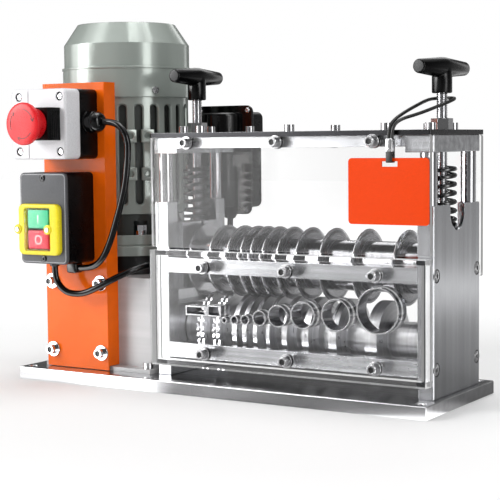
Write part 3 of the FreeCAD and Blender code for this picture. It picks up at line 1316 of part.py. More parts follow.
def make_motor_body():
    """Return the finned motor housing with its stator bore and foot pads."""
    bore = MOTOR_SHAFT_DIAMETER / 2 + RUNNING_FIT
    stator_low = SHIELD_TOP + STATOR_INSET
    stator_high = BODY_TOP - STATOR_INSET
    spigot = COVER_SKIRT_RADIUS - COVER_THICKNESS - SEAT_FIT
    spigot_top = BODY_TOP + REAR_SHIELD_HEIGHT
    cap = spigot_top - MOTOR_BODY_WALL
    profile = [
        (SHIELD_TOP, bore), (SHIELD_TOP, MOTOR_BODY_RADIUS), (BODY_TOP, MOTOR_BODY_RADIUS), (BODY_TOP, spigot),
        (spigot_top, spigot), (spigot_top, bore), (cap, bore), (cap, MOTOR_CAVITY_RADIUS),
        (stator_high, MOTOR_CAVITY_RADIUS), (stator_high, STATOR_BORE_RADIUS), (stator_low, STATOR_BORE_RADIUS),
        (stator_low, MOTOR_CAVITY_RADIUS), (SHIELD_TOP + MOTOR_BODY_WALL, MOTOR_CAVITY_RADIUS),
        (SHIELD_TOP + MOTOR_BODY_WALL, bore),
    ]
    body = turned(profile, (MOTOR_X, MOTOR_Y, 0), Z_AXIS)
    slots = []
    for step in range(COOLING_SLOTS):
        angle = FIRST_SLOT_ANGLE + 360.0 * step / COOLING_SLOTS
        away = (angle - FOOT_PAD_ANGLE + 180) % 360 - 180
        if abs(away) > FOOT_PAD_CLEAR_ANGLE:
            slots.append(cooling_slot(angle))
    body = body.cut(slots)
    pads = []
    holes = []
    for level in FOOT_PAD_LEVELS:
        for side in (-1, 1):
            pads.append(foot_pad(level, side * FOOT_PAD_SPREAD))
            place = around_motor(FOOT_PAD_ANGLE, FOOT_PAD_REACH, SHIELD_TOP + level)
            place = place + sideways() * (side * FOOT_PAD_SPREAD)
            holes.append(pin(FOOT_PAD_HOLE / 2, place, outward(FOOT_PAD_ANGLE) * -1, FOOT_PAD_HOLE_DEPTH))
    return body.fuse(pads).cut(holes).removeSplitter()


def sideways():
    """Return the direction across the foot pads."""
    return Z_AXIS.cross(outward(FOOT_PAD_ANGLE))


def foot_pad(level, shift):
    """Return one raised pad for a motor foot."""
    half = FOOT_PAD_SIZE / 2
    out = outward(FOOT_PAD_ANGLE)
    across = sideways()
    middle = around_motor(FOOT_PAD_ANGLE, FOOT_PAD_ROOT, SHIELD_TOP + level) + across * shift
    corners = [
        middle - across * half - Z_AXIS * half, middle + across * half - Z_AXIS * half,
        middle + across * half + Z_AXIS * half, middle - across * half + Z_AXIS * half,
    ]
    return prism(corners, out, FOOT_PAD_REACH - FOOT_PAD_ROOT)


def cooling_slot(angle):
    """Return the tool for one upright slot between two ribs."""
    half = COOLING_SLOT_WIDTH / 2
    low = SHIELD_TOP + COOLING_SLOT_MARGIN
    height = BODY_TOP - COOLING_SLOT_TOP_MARGIN - low
    tool = block(-half, half, 0, COOLING_SLOT_DEPTH + 2, 0, height)
    tool.translate(Vector(0, -MOTOR_BODY_RADIUS - 2, 0))
    tool.rotate(Vector(0, 0, 0), Z_AXIS, angle)
    tool.translate(Vector(MOTOR_X, MOTOR_Y, low))
    return tool


def make_fan_cover():
    """Return the vented cover over the cooling fan."""
    skirt_top = BODY_TOP + COVER_SKIRT_HEIGHT
    bead_top = skirt_top + COVER_BEAD_HEIGHT
    wall_top = skirt_top + COVER_WALL_HEIGHT
    sheet = COVER_THICKNESS
    profile = [
        (BODY_TOP, COVER_SKIRT_RADIUS - sheet), (BODY_TOP, COVER_SKIRT_RADIUS), (skirt_top, COVER_SKIRT_RADIUS),
        (skirt_top, COVER_SKIRT_RADIUS + COVER_BEAD), (bead_top, COVER_SKIRT_RADIUS + COVER_BEAD),
        (bead_top, COVER_RADIUS), (wall_top, COVER_RADIUS), (COVER_TOP, COVER_TOP_RADIUS), (COVER_TOP, 0),
        (COVER_TOP - sheet, 0), (COVER_TOP - sheet, COVER_TOP_RADIUS - sheet), (wall_top - sheet, COVER_RADIUS - sheet),
        (bead_top, COVER_RADIUS - sheet), (bead_top, COVER_SKIRT_RADIUS - sheet),
    ]
    cover = turned(profile, (MOTOR_X, MOTOR_Y, 0), Z_AXIS)
    vents = []
    low = COVER_TOP - 2 * sheet
    for radius in VENT_RADII:
        vent = ring(radius + VENT_WIDTH / 2, radius - VENT_WIDTH / 2, (MOTOR_X, MOTOR_Y, low), Z_AXIS, 3 * sheet)
        reach = COVER_RADIUS
        half = VENT_WEB / 2
        webs = [
            block(MOTOR_X - reach, MOTOR_X + reach, MOTOR_Y - half, MOTOR_Y + half, low, low + 3 * sheet),
            block(MOTOR_X - half, MOTOR_X + half, MOTOR_Y - reach, MOTOR_Y + reach, low, low + 3 * sheet),
        ]
        vents.append(vent.cut(webs))
    return cover.cut(vents)


def make_motor_screws():
    """Return the bolts on the motor flange and the screws in the fan cover's skirt."""
    pieces = []
    for angle in flange_bolt_angles():
        place = around_motor(angle, FLANGE_BOLT_CIRCLE, FLANGE_TOP)
        washer = pin(HEX_BOLT_WASHER / 2, place, Z_AXIS, HEX_BOLT_WASHER_HEIGHT)
        head = hexagon(HEX_BOLT_FLATS, place + Z_AXIS * HEX_BOLT_WASHER_HEIGHT, Z_AXIS, HEX_BOLT_HEIGHT)
        pieces.append(washer.fuse(head))
    skirt = pin(COVER_SKIRT_RADIUS, (MOTOR_X, MOTOR_Y, BODY_TOP), Z_AXIS, COVER_SKIRT_HEIGHT)
    for step in range(3):
        angle = COVER_SCREW_ANGLE + 120 * step
        place = around_motor(angle, COVER_SKIRT_RADIUS - COVER_SCREW_SINK, BODY_TOP + COVER_SCREW_HEIGHT)
        length = COVER_SCREW_SINK + COVER_SCREW_PROJECTION
        pieces.append(pin(COVER_SCREW_DIAMETER / 2, place, outward(angle), length).cut(skirt))
    return Part.makeCompound(pieces)


def make_motor_rotor():
    """Return the rotor with its shaft and the worm that drives the feed roller."""
    shaft = MOTOR_SHAFT_DIAMETER / 2
    core_low = SHIELD_TOP + STATOR_INSET
    core_high = BODY_TOP - STATOR_INSET
    core = STATOR_BORE_RADIUS - ROTOR_AIR_GAP
    pitch = math.pi * WORM_MODULE
    pitch_radius = WORM_CENTRE_DISTANCE - WORM_MODULE * WORM_WHEEL_TEETH / 2
    root = pitch_radius - WORM_MODULE * WORM_ROOT_FACTOR
    tip = pitch_radius + WORM_MODULE
    worm_low = FEED_Z - WORM_TURNS / 2 * pitch
    worm_high = FEED_Z + WORM_TURNS / 2 * pitch
    profile = [
        (BASE_TOP + WORM_TAIL_INSET, 0), (BASE_TOP + WORM_TAIL_INSET, WORM_TAIL_RADIUS),
        (worm_low - 1.5 * pitch, WORM_TAIL_RADIUS), (worm_low - 1.5 * pitch, root), (worm_high + pitch, root), (worm_high + pitch, shaft), (core_low, shaft),
        (core_low, core), (core_high, core), (core_high, shaft), (fan_bottom() + FAN_HUB_HEIGHT, shaft),
        (fan_bottom() + FAN_HUB_HEIGHT, 0),
    ]
    rotor = turned(profile, (MOTOR_X, MOTOR_Y, 0), Z_AXIS)
    helix = Part.makeHelix(pitch, WORM_TURNS * pitch, root)
    root_half = WORM_ROOT_THICKNESS / 2
    tip_half = WORM_TIP_THICKNESS / 2
    sink = root - WORM_THREAD_SINK
    corners = [
        Vector(sink, 0, -root_half), Vector(root, 0, -root_half), Vector(tip, 0, -tip_half), Vector(tip, 0, tip_half),
        Vector(root, 0, root_half), Vector(sink, 0, root_half),
    ]
    thread = Part.Wire(helix).makePipeShell([Part.makePolygon(corners + [corners[0]])], True, True)
    thread.translate(Vector(MOTOR_X, MOTOR_Y, FEED_Z - (WORM_TURNS / 2 + WORM_PHASE) * pitch))
    return rotor.fuse(thread)


def fan_bottom():
    """Return the height of the fan's underside."""
    return BODY_TOP + REAR_SHIELD_HEIGHT + FAN_GAP


def make_cooling_fan():
    """Return the cooling fan on the rotor shaft."""
    low = fan_bottom()
    hub = pin(FAN_HUB_RADIUS, (MOTOR_X, MOTOR_Y, low), Z_AXIS, FAN_HUB_HEIGHT)
    disc = pin(FAN_RADIUS, (MOTOR_X, MOTOR_Y, low), Z_AXIS, FAN_BLADE_THICKNESS)
    blades = []
    for step in range(FAN_BLADES):
        half = FAN_BLADE_THICKNESS / 2
        blade = block(FAN_HUB_RADIUS - 2, FAN_RADIUS, -half, half, 0, FAN_BLADE_HEIGHT)
        blade.rotate(Vector(0, 0, 0), Z_AXIS, 360.0 * step / FAN_BLADES)
        blade.translate(Vector(MOTOR_X, MOTOR_Y, low))
        blades.append(blade)
    fan = hub.fuse([disc] + blades)
    return fan.cut(pin(MOTOR_SHAFT_DIAMETER / 2, (MOTOR_X, MOTOR_Y, low), Z_AXIS, FAN_HUB_HEIGHT)).removeSplitter()


# Capacitor box beside the motor
def capacitor_left():
    """Return the left side of the capacitor box's cover."""
    return MOTOR_X + CAPACITOR_X_FROM_MOTOR - CAPACITOR_WIDTH / 2


def capacitor_front():
    """Return the front face of the capacitor box's cover."""
    return MOTOR_Y + CAPACITOR_Y_FROM_MOTOR


def make_capacitor_cover():
    """Return the cover plate with its half-round dome."""
    left = capacitor_left()
    front = capacitor_front()
    low = BASE_TOP + CAPACITOR_BOTTOM
    plate = rounded_block(
        left, left + CAPACITOR_WIDTH, front, front + CAPACITOR_PLATE, low, low + CAPACITOR_HEIGHT,
        CAPACITOR_CORNER_RADIUS, Y_AXIS,
    )
    dome_x = left + CAPACITOR_WIDTH / 2 + CAPACITOR_DOME_SHIFT
    dome_low = low + CAPACITOR_DOME_MARGIN
    dome_height = CAPACITOR_HEIGHT - 2 * CAPACITOR_DOME_MARGIN
    centre = (dome_x, front + CAPACITOR_DOME_SINK, dome_low)
    dome = pin(CAPACITOR_DOME_DIAMETER / 2, centre, Z_AXIS, dome_height)
    dome = dome.makeFillet(CAPACITOR_DOME_ROUND, dome.Edges[0:1] + dome.Edges[2:3])
    reach = CAPACITOR_WIDTH
    behind = block(
        left - reach, left + 2 * reach, front + CAPACITOR_PLATE, front + 2 * reach, low - reach,
        low + CAPACITOR_HEIGHT + reach,
    )
    dome = dome.cut(behind)
    return plate.fuse(dome).removeSplitter()


def make_capacitor_box():
    """Return the box body with the saddle that carries it on the motor."""
    inset = CAPACITOR_INSET
    left = capacitor_left() + inset
    right = capacitor_left() + CAPACITOR_WIDTH - inset
    front = capacitor_front() + CAPACITOR_PLATE
    back = front + CAPACITOR_DEPTH
    low = BASE_TOP + CAPACITOR_BOTTOM + inset
    high = BASE_TOP + CAPACITOR_BOTTOM + CAPACITOR_HEIGHT - inset
    body = rounded_block(left, right, front, back, low, high, CAPACITOR_CORNER_RADIUS, Y_AXIS)
    wall = CAPACITOR_WALL
    inside = block(left + wall, right - wall, front - 1, back - wall, low + wall, high - wall)
    middle = (low + high) / 2
    half = CAPACITOR_SADDLE_HEIGHT / 2
    saddle = block(MOTOR_X + CAPACITOR_SADDLE_START, left + wall, front, back, middle - half, middle + half)
    drum = pin(MOTOR_BODY_RADIUS, (MOTOR_X, MOTOR_Y, middle - half), Z_AXIS, CAPACITOR_SADDLE_HEIGHT)
    return body.fuse(saddle).cut([inside, drum]).removeSplitter()


# Control bracket and its boxes
def bracket_screw_places():
    """Return where the bracket is bolted to the gearbox."""
    places = []
    for side in (-0.5, 0.5):
        for height in BRACKET_SCREW_HEIGHTS:
            places.append((MOTOR_X + side * BRACKET_SCREW_SPACING, BASE_TOP + height))
    return places


def make_control_bracket():
    """Return the folded bracket that carries the switch boxes."""
    low = BASE_TOP + BRACKET_BASE_GAP
    high = low + BRACKET_HEIGHT
    foot = BASE_TOP + FOOT_THICKNESS + BRACKET_FOOT_CLEARANCE
    face = block(BRACKET_LEFT, BRACKET_RIGHT, BRACKET_FACE, BRACKET_BACK, low, high)
    left = block(BRACKET_LEFT, BRACKET_LEFT + SHEET, BRACKET_FACE, GEARBOX_FRONT, foot, high)
    right = block(BRACKET_RIGHT - SHEET, BRACKET_RIGHT, BRACKET_FACE, GEARBOX_FRONT, foot, high)
    tools = [screw_hole((x, BRACKET_FACE, z), Y_AXIS, M6_DIAMETER, SHEET) for x, z in bracket_screw_places()]
    return face.fuse([left, right]).cut(tools).removeSplitter()


def estop_left():
    """Return the left side of the emergency stop box."""
    return MOTOR_X + ESTOP_SHIFT - ESTOP_WIDTH / 2


def estop_axis():
    """Return the place of the emergency stop button on the bracket face."""
    x = estop_left() + ESTOP_WIDTH / 2 + ESTOP_BUTTON_SHIFT
    return x, BASE_TOP + ESTOP_BOTTOM + ESTOP_HEIGHT / 2


def estop_front():
    """Return the front face of the emergency stop box."""
    return BRACKET_FACE - ESTOP_BASE_DEPTH - ESTOP_COVER_DEPTH


def estop_screw_places():
    """Return the screw places in the corners of the emergency stop box."""
    left = estop_left() + ESTOP_SCREW_INSET
    right = estop_left() + ESTOP_WIDTH - ESTOP_RIGHT_SCREW_INSET
    low = BASE_TOP + ESTOP_BOTTOM + ESTOP_SCREW_RISE
    high = BASE_TOP + ESTOP_BOTTOM + ESTOP_HEIGHT - ESTOP_SCREW_RISE
    return [(left, low), (left, high), (right, low), (right, high)]


def estop_shell(y0, y1, opening):
    """Return one half of the emergency stop box, hollow towards one side."""
    left = estop_left()
    low = BASE_TOP + ESTOP_BOTTOM
    shell = rounded_block(
        left, left + ESTOP_WIDTH, y0, y1, low, low + ESTOP_HEIGHT, ESTOP_CORNER_RADIUS, Y_AXIS
    )
    wall = ESTOP_WALL
    start = y0 - 1 if opening < 0 else y0 + wall
    end = y1 - wall if opening < 0 else y1 + 1
    inside = block(left + wall, left + ESTOP_WIDTH - wall, start, end, low + wall, low + ESTOP_HEIGHT - wall)
    posts = [pin(ESTOP_POST_DIAMETER / 2, (x, y0, z), Y_AXIS, y1 - y0) for x, z in estop_screw_places()]
    holes = [pin(M3_DIAMETER / 2 + SCREW_FIT, (x, y0, z), Y_AXIS, y1 - y0) for x, z in estop_screw_places()]
    return shell.cut(inside).fuse(posts).cut(holes).removeSplitter()


def make_estop_base():
    """Return the rear half of the emergency stop box."""
    return estop_shell(BRACKET_FACE - ESTOP_BASE_DEPTH, BRACKET_FACE, -1)


def make_estop_cover():
    """Return the front half of the emergency stop box with the button's hole and a seam line."""
    front = estop_front()
    cover = estop_shell(front, BRACKET_FACE - ESTOP_BASE_DEPTH, 1)
    x, z = estop_axis()
    seam = estop_left() + ESTOP_SEAM_FROM_LEFT
    low = BASE_TOP + ESTOP_BOTTOM
    tools = [
        pin(ESTOP_STEM_RADIUS + RUNNING_FIT, (x, front, z), Y_AXIS, ESTOP_WALL),
        block(seam, seam + ESTOP_SEAM_WIDTH, front - 1, front + ESTOP_SEAM_WIDTH, low - 1, low + ESTOP_HEIGHT + 1),
    ]
    return cover.cut(tools)


def make_estop_collar():
    """Return the square collar around the emergency stop stem."""
    x, z = estop_axis()
    half = ESTOP_COLLAR_SIZE / 2
    front = estop_front() - ESTOP_COLLAR_DEPTH
    collar = block(x - half, x + half, front, estop_front(), z - half, z + half)
    recess = ESTOP_NECK_RADIUS + SLIDE_FIT
    tools = [
        pin(ESTOP_STEM_RADIUS + RUNNING_FIT, (x, front, z), Y_AXIS, ESTOP_COLLAR_DEPTH),
        pin(recess, (x, front, z), Y_AXIS, ESTOP_TRAVEL + 1),
    ]
    for step in range(ESTOP_COLLAR_GROOVES):
        y = front + ESTOP_TRAVEL + 2 + step * 2 * ESTOP_GROOVE_WIDTH
        for side in (-1, 1):
            edge = x + side * half
            tools.append(block(edge - 1, edge + 1, y, y + ESTOP_GROOVE_WIDTH, z - half + 3, z + half - 3))
    return collar.cut(tools)


def make_estop_stem():
    """Return the sliding stem of the emergency stop."""
    x, z = estop_axis()
    head_back = estop_front() - ESTOP_COLLAR_DEPTH
    start = head_back - ESTOP_NECK_LENGTH
    length = ESTOP_NECK_LENGTH + ESTOP_COLLAR_DEPTH + ESTOP_STEM_REACH
    return pin(ESTOP_STEM_RADIUS, (x, start, z), Y_AXIS, length)


def make_estop_head():
    """Return the red mushroom head, which turns on the stem."""
    x, z = estop_axis()
    back = estop_front() - ESTOP_COLLAR_DEPTH
    neck = back - ESTOP_NECK_LENGTH
    cap = neck - ESTOP_CAP_DEPTH
    edge = ESTOP_CAP_ROUND
    profile = [
        (cap, 0), (cap, ESTOP_CAP_RADIUS - edge), (cap + edge, ESTOP_CAP_RADIUS), (neck, ESTOP_CAP_RADIUS),
        (neck, ESTOP_NECK_RADIUS), (back, ESTOP_NECK_RADIUS), (back, ESTOP_STEM_RADIUS + RUNNING_FIT),
        (neck, ESTOP_STEM_RADIUS + RUNNING_FIT), (neck, 0),
    ]
    return turned(profile, (x, 0, z), Y_AXIS)


def switch_left():
    """Return the left side of the switch box."""
    return MOTOR_X + SWITCH_SHIFT - SWITCH_WIDTH / 2


def switch_front():
    """Return the front face of the switch box's plate."""
    return BRACKET_FACE - SWITCH_DEPTH - SWITCH_PLATE_DEPTH


def make_switch_body():
    """Return the hollow body of the switch box."""
    left = switch_left()
    low = BASE_TOP + SWITCH_BOTTOM
    front = BRACKET_FACE - SWITCH_DEPTH
    shell = rounded_block(
        left, left + SWITCH_WIDTH, front, BRACKET_FACE, low, low + SWITCH_HEIGHT, SWITCH_CORNER_RADIUS, Y_AXIS
    )
    wall = SWITCH_WALL
    inside = block(
        left + wall, left + SWITCH_WIDTH - wall, front - 1, BRACKET_FACE - wall, low + wall, low + SWITCH_HEIGHT - wall
    )
    posts = [pin(SWITCH_POST_DIAMETER / 2, (x, front, z), Y_AXIS, SWITCH_DEPTH) for x, z in switch_screw_places()]
    holes = [screw_hole((x, front, z), Y_AXIS, M3_DIAMETER, SWITCH_SCREW_LENGTH) for x, z in switch_screw_places()]
    return shell.cut(inside).fuse(posts).cut(holes).removeSplitter()


def switch_screw_places():
    """Return the two screw places on the switch plate."""
    x = switch_left() + SWITCH_WIDTH / 2
    low = BASE_TOP + SWITCH_BOTTOM
    return [(x, low + SWITCH_SCREW_INSET), (x, low + SWITCH_HEIGHT - SWITCH_SCREW_INSET)]


def switch_window():
    """Return the middle of the switch frame's window."""
    x = MOTOR_X + SWITCH_WINDOW_SHIFT
    z = BASE_TOP + SWITCH_BOTTOM + SWITCH_FRAME_BOTTOM + SWITCH_FRAME_HEIGHT / 2
    return x, z


def button_boxes(growth, y0, y1):
    """Return the start and stop button blocks, grown by a clearance."""
    x, z = switch_window()
    half = BUTTON_WIDTH / 2 + growth
    rise = (BUTTON_HEIGHT + BUTTON_GAP) / 2
    blocks = []
    for side in (1, -1):
        middle = z + side * rise
        reach = BUTTON_HEIGHT / 2 + growth
        blocks.append(block(x - half, x + half, y0, y1, middle - reach, middle + reach))
    return blocks


def make_switch_plate():
    """Return the front plate of the switch box."""
    left = switch_left()
    low = BASE_TOP + SWITCH_BOTTOM
    front = switch_front()
    back = BRACKET_FACE - SWITCH_DEPTH
    plate = rounded_block(
        left, left + SWITCH_WIDTH, front, back, low, low + SWITCH_HEIGHT, SWITCH_CORNER_RADIUS, Y_AXIS
    )
    tools = button_boxes(BUTTON_FIT, front - 1, back + 1)
    for x, z in switch_screw_places():
        tools.append(screw_hole((x, front, z), Y_AXIS, M3_DIAMETER, SWITCH_PLATE_DEPTH))
    return plate.cut(tools)


def make_switch_frame():
    """Return the frame around the two buttons with its side lugs."""
    x, z = switch_window()
    front = switch_front()
    left = MOTOR_X + SWITCH_FRAME_SHIFT - SWITCH_FRAME_WIDTH / 2
    low = z - SWITCH_FRAME_HEIGHT / 2
    frame = rounded_block(
        left, left + SWITCH_FRAME_WIDTH, front - SWITCH_FRAME_DEPTH, front, low, low + SWITCH_FRAME_HEIGHT,
        SWITCH_FRAME_ROUND, Y_AXIS,
    )
    half_x = SWITCH_WINDOW_WIDTH / 2
    half_z = SWITCH_WINDOW_HEIGHT / 2
    return frame.cut(block(x - half_x, x + half_x, front - SWITCH_FRAME_DEPTH - 1, front + 1, z - half_z, z + half_z))


def make_control_screws():
    """Return the screws of the bracket and of the two control boxes."""
    screws = []
    seat_y = BRACKET_FACE - BRACKET_WASHER_THICKNESS
    length = BRACKET_WASHER_THICKNESS + SHEET + BRACKET_STANDOFF + BRACKET_SCREW_DEPTH - SLIDE_FIT
    for x, z in bracket_screw_places():
        screws.append(cap_screw((x, seat_y, z), Y_AXIS, M6_DIAMETER, M6_CAP_DIAMETER, M6_CAP_HEIGHT, length))
    for x, z in estop_screw_places():
        seat = (x, estop_front(), z)
        screws.append(cap_screw(seat, Y_AXIS, M3_DIAMETER, M3_HEAD_DIAMETER, M3_HEAD_HEIGHT, ESTOP_SCREW_LENGTH))
    for x, z in switch_screw_places():
        seat = (x, switch_front(), z)
        length = SWITCH_PLATE_DEPTH + SWITCH_SCREW_LENGTH - SLIDE_FIT
        screws.append(cap_screw(seat, Y_AXIS, M3_DIAMETER, M3_HEAD_DIAMETER, M3_HEAD_HEIGHT, length))
    return Part.makeCompound(screws)


# Cables, their glands, and the hang tag
def make_cable_glands():
    """Return the cable entries of the boxes."""
    right = estop_left() + ESTOP_WIDTH
    tip = ESTOP_CABLE_ROUTE[0]
    wide = GLAND_DIAMETER / 2
    narrow = GLAND_TIP_DIAMETER / 2
    gland = turned(
        [(right, 0), (right, wide), (right + GLAND_NUT_LENGTH, wide), (tip[0], narrow), (tip[0], 0)],
        (0, tip[1], tip[2]), X_AXIS,
    )
    low = BASE_TOP + SWITCH_BOTTOM
    end = ESTOP_CABLE_ROUTE[-1]
    half = ELBOW_WIDTH / 2
    elbow = block(end[0] - ELBOW_WIDTH, end[0], end[1] - half, end[1] + half, end[2] - half + 1, low)
    start = MOTOR_CABLE_ROUTE[0]
    grommet = pin(GROMMET_DIAMETER / 2, start, Z_AXIS, low - start[2])
    box_low = BASE_TOP + CAPACITOR_BOTTOM + CAPACITOR_INSET
    last = MOTOR_CABLE_ROUTE[-1]
    lower = pin(CAPACITOR_GLAND_DIAMETER / 2, last, Z_AXIS, box_low - last[2])
    return Part.makeCompound([gland, elbow, grommet, lower])


def tag_front():
    """Return the front face of the hang tag."""
    return FRAME_FRONT - GUARD_GAP - GUARD_THICKNESS - TAG_GUARD_GAP - TAG_THICKNESS


def make_hang_tag():
    """Return the plain tag with its slot."""
    centre = FRAME_RIGHT - TAG_CENTRE_FROM_RIGHT
    high = BASE_TOP + TAG_TOP
    front = tag_front()
    back = front + TAG_THICKNESS
    half = TAG_WIDTH / 2
    tag = rounded_block(centre - half, centre + half, front, back, high - TAG_HEIGHT, high, TAG_CORNER_RADIUS, Y_AXIS)
    slot_high = high - TAG_STRIP
    slot_half = TAG_SLOT_WIDTH / 2
    slot_x = FRAME_RIGHT - TAG_SLOT_FROM_RIGHT
    slot = block(slot_x - slot_half, slot_x + slot_half, front - 1, back + 1, slot_high - TAG_SLOT_HEIGHT, slot_high)
    return tag.cut(slot)


def make_tag_ferrule():
    """Return the ferrule on the strap's ends with the loop that carries the tag."""
    x = FRAME_RIGHT - FERRULE_FROM_RIGHT
    y = tag_front() + TAG_THICKNESS / 2
    low = BASE_TOP + TAG_TOP + FERRULE_RISE
    half_x = FERRULE_WIDTH / 2
    half_y = FERRULE_DEPTH / 2
    ferrule = block(x - half_x, x + half_x, y - half_y, y + half_y, low, STRAP_ROUTE[0][2])
    loop_half = TAG_LOOP_WIDTH / 2
    loop_low = BASE_TOP + TAG_TOP - TAG_STRIP - TAG_LOOP_GAP - TAG_LOOP_THICKNESS
    loop_high = low + TAG_LOOP_THICKNESS
    outer = block(x - loop_half, x + loop_half, y - TAG_LOOP_DEPTH, y + TAG_LOOP_DEPTH, loop_low, loop_high)
    inner_y = TAG_LOOP_DEPTH - TAG_LOOP_THICKNESS
    inner = block(
        x - loop_half - 1, x + loop_half + 1, y - inner_y, y + inner_y, loop_low + TAG_LOOP_THICKNESS, low
    )
    return ferrule.fuse(outer).cut(inner).removeSplitter()


def build_parts():
    """Return every named piece of the machine."""
    screw_left_x = 2 * FRAME_MIDDLE - SCREW_X
    right_block = make_right_end_block()
    start_button, stop_button = button_boxes(0, switch_front() - BUTTON_PROJECTION, switch_front() + BUTTON_DEPTH)
    return {
        "base_plate": make_base_plate(),
        "frame_screws": make_frame_screws(),
        "left_end_block": make_left_end_block(right_block),
        "right_end_block": right_block,
        "lower_bearing_blocks": make_lower_bearing_blocks(),
        "feed_bearings": make_feed_bearings(),
        "guide_columns": make_guide_columns(),
        "top_frame": make_top_frame(),
        "top_plate": make_top_plate(),
        "top_screws": make_top_screws(),
        "adjusting_nuts": make_adjusting_nuts(),
        "tie_bars": make_tie_bars(),
        "upper_guard": make_upper_guard(),
        "lower_guard": make_lower_guard(),
        "rear_guard": make_rear_guard(),
        "guard_screws": make_guard_screws(),
        "spacers": make_spacers(),
        "flat_guides": make_guides([0, 1]),
        "small_guides": make_guides([2, 3, 4]),
        "medium_guides": make_guides([5, 6]),
        "large_guides": make_guides([7, 8, 9]),
        "feed_roller": make_feed_roller(),
        "worm_wheel": make_worm_wheel(),
        "blade_shaft": make_blade_shaft(),
        "blades": make_blades(),
        "upper_bearing_blocks": make_upper_bearing_blocks(),
        "carriage_bearings": make_carriage_bearings(),
        "springs": make_springs(),
        "left_screw": make_lifting_screw(screw_left_x),
        "left_handle": make_handle(screw_left_x, 0),
        "right_screw": make_lifting_screw(SCREW_X),
        "right_handle": make_handle(SCREW_X, RIGHT_HANDLE_ANGLE),
        "gearbox_housing": make_gearbox_housing(),
        "motor_adapter": make_motor_adapter(),
        "motor_flange": make_motor_flange(),
        "motor_body": make_motor_body(),
        "fan_cover": make_fan_cover(),
        "motor_screws": make_motor_screws(),
        "motor_rotor": make_motor_rotor(),
        "cooling_fan": make_cooling_fan(),
        "capacitor_box": make_capacitor_box(),
        "capacitor_cover": make_capacitor_cover(),
        "control_bracket": make_control_bracket(),
        "control_screws": make_control_screws(),
        "estop_base": make_estop_base(),
        "estop_cover": make_estop_cover(),
        "estop_collar": make_estop_collar(),
        "estop_stem": make_estop_stem(),
        "estop_head": make_estop_head(),
        "switch_body": make_switch_body(),
        "switch_plate": make_switch_plate(),
        "switch_frame": make_switch_frame(),
        "start_button": start_button,
        "stop_button": stop_button,
        "cable_glands": make_cable_glands(),
        "estop_cable": cord("estop_cable", ESTOP_CABLE_ROUTE, CABLE_DIAMETER),
        "motor_cable": cord("motor_cable", MOTOR_CABLE_ROUTE, CABLE_DIAMETER),
        "tag_strap": cord("tag_strap", STRAP_ROUTE, STRAP_DIAMETER),
        "tag_ferrule": make_tag_ferrule(),
        "hang_tag": make_hang_tag(),
    }


os.makedirs("parts", exist_ok=True)
for node, shape in build_parts().items():
    solids = shape.Solids
    result = solids[0] if len(solids) == 1 else Part.makeCompound(solids)
    result.exportStep("parts/" + node + ".step")
    print(node, len(solids), "solids, volume in cm3", round(result.Volume / 1000, 2), "valid", result.isValid())
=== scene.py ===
"""Finishes and fine pieces for a bench wire stripping machine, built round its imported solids."""

import json
import logging
import math
from dataclasses import dataclass, field
from enum import Enum
from typing import Optional, Sequence, Union

import bmesh
import bpy
from mathutils import Matrix, Vector

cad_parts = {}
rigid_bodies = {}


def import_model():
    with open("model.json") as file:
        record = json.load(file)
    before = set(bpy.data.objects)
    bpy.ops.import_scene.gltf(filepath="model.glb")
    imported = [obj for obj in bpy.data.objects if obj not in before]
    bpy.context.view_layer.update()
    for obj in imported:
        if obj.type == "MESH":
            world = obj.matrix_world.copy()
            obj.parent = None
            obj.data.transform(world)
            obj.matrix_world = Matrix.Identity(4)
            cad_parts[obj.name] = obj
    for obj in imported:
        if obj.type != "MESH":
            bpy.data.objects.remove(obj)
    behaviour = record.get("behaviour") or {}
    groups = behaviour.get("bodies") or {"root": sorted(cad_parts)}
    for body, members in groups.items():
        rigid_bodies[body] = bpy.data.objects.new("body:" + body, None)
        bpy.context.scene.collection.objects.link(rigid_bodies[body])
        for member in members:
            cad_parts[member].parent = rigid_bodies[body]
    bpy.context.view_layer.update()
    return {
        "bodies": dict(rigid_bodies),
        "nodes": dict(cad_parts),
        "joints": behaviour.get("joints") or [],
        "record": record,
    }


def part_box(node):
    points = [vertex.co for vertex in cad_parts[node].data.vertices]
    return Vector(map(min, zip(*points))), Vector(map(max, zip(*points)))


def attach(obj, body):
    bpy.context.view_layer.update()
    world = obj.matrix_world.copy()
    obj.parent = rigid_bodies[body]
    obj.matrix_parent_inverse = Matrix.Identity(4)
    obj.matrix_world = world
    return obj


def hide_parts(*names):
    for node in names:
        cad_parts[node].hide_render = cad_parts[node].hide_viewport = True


LOG = logging.getLogger("wire_stripping_machine")
FULL_TURN = 2 * math.pi

Point = tuple[float, float, float]
Colour = tuple[int, int, int]
Shape = bmesh.types.BMesh
Socket = bpy.types.NodeSocket
Value = Union[float, Sequence[float], Socket]

UP = Vector((0, 0, 1))
FRONT = Vector((0, -1, 0))
BACK = Vector((0, 1, 0))
LEFT = Vector((-1, 0, 0))
RIGHT = Vector((1, 0, 0))
ORIGIN = (0, 0, 0)
BLACK = (0.0, 0.0, 0.0, 1.0)
WHITE = (1.0, 1.0, 1.0, 1.0)
WORN_STEEL = (236, 236, 238)
# Colour of worn edges and of the painted highlight on blade rims.
WEAR_AND_RIM_HIGHLIGHT = (240, 240, 242)
LATHE_PITCH = 2600.0
FEED_AXIS = (0.0, 0.004, 0.056)
BLADE_AXIS = (0.0, 0.004, 0.1215)
FINE_RELIEF = 0.0002
WELD = 1e-7


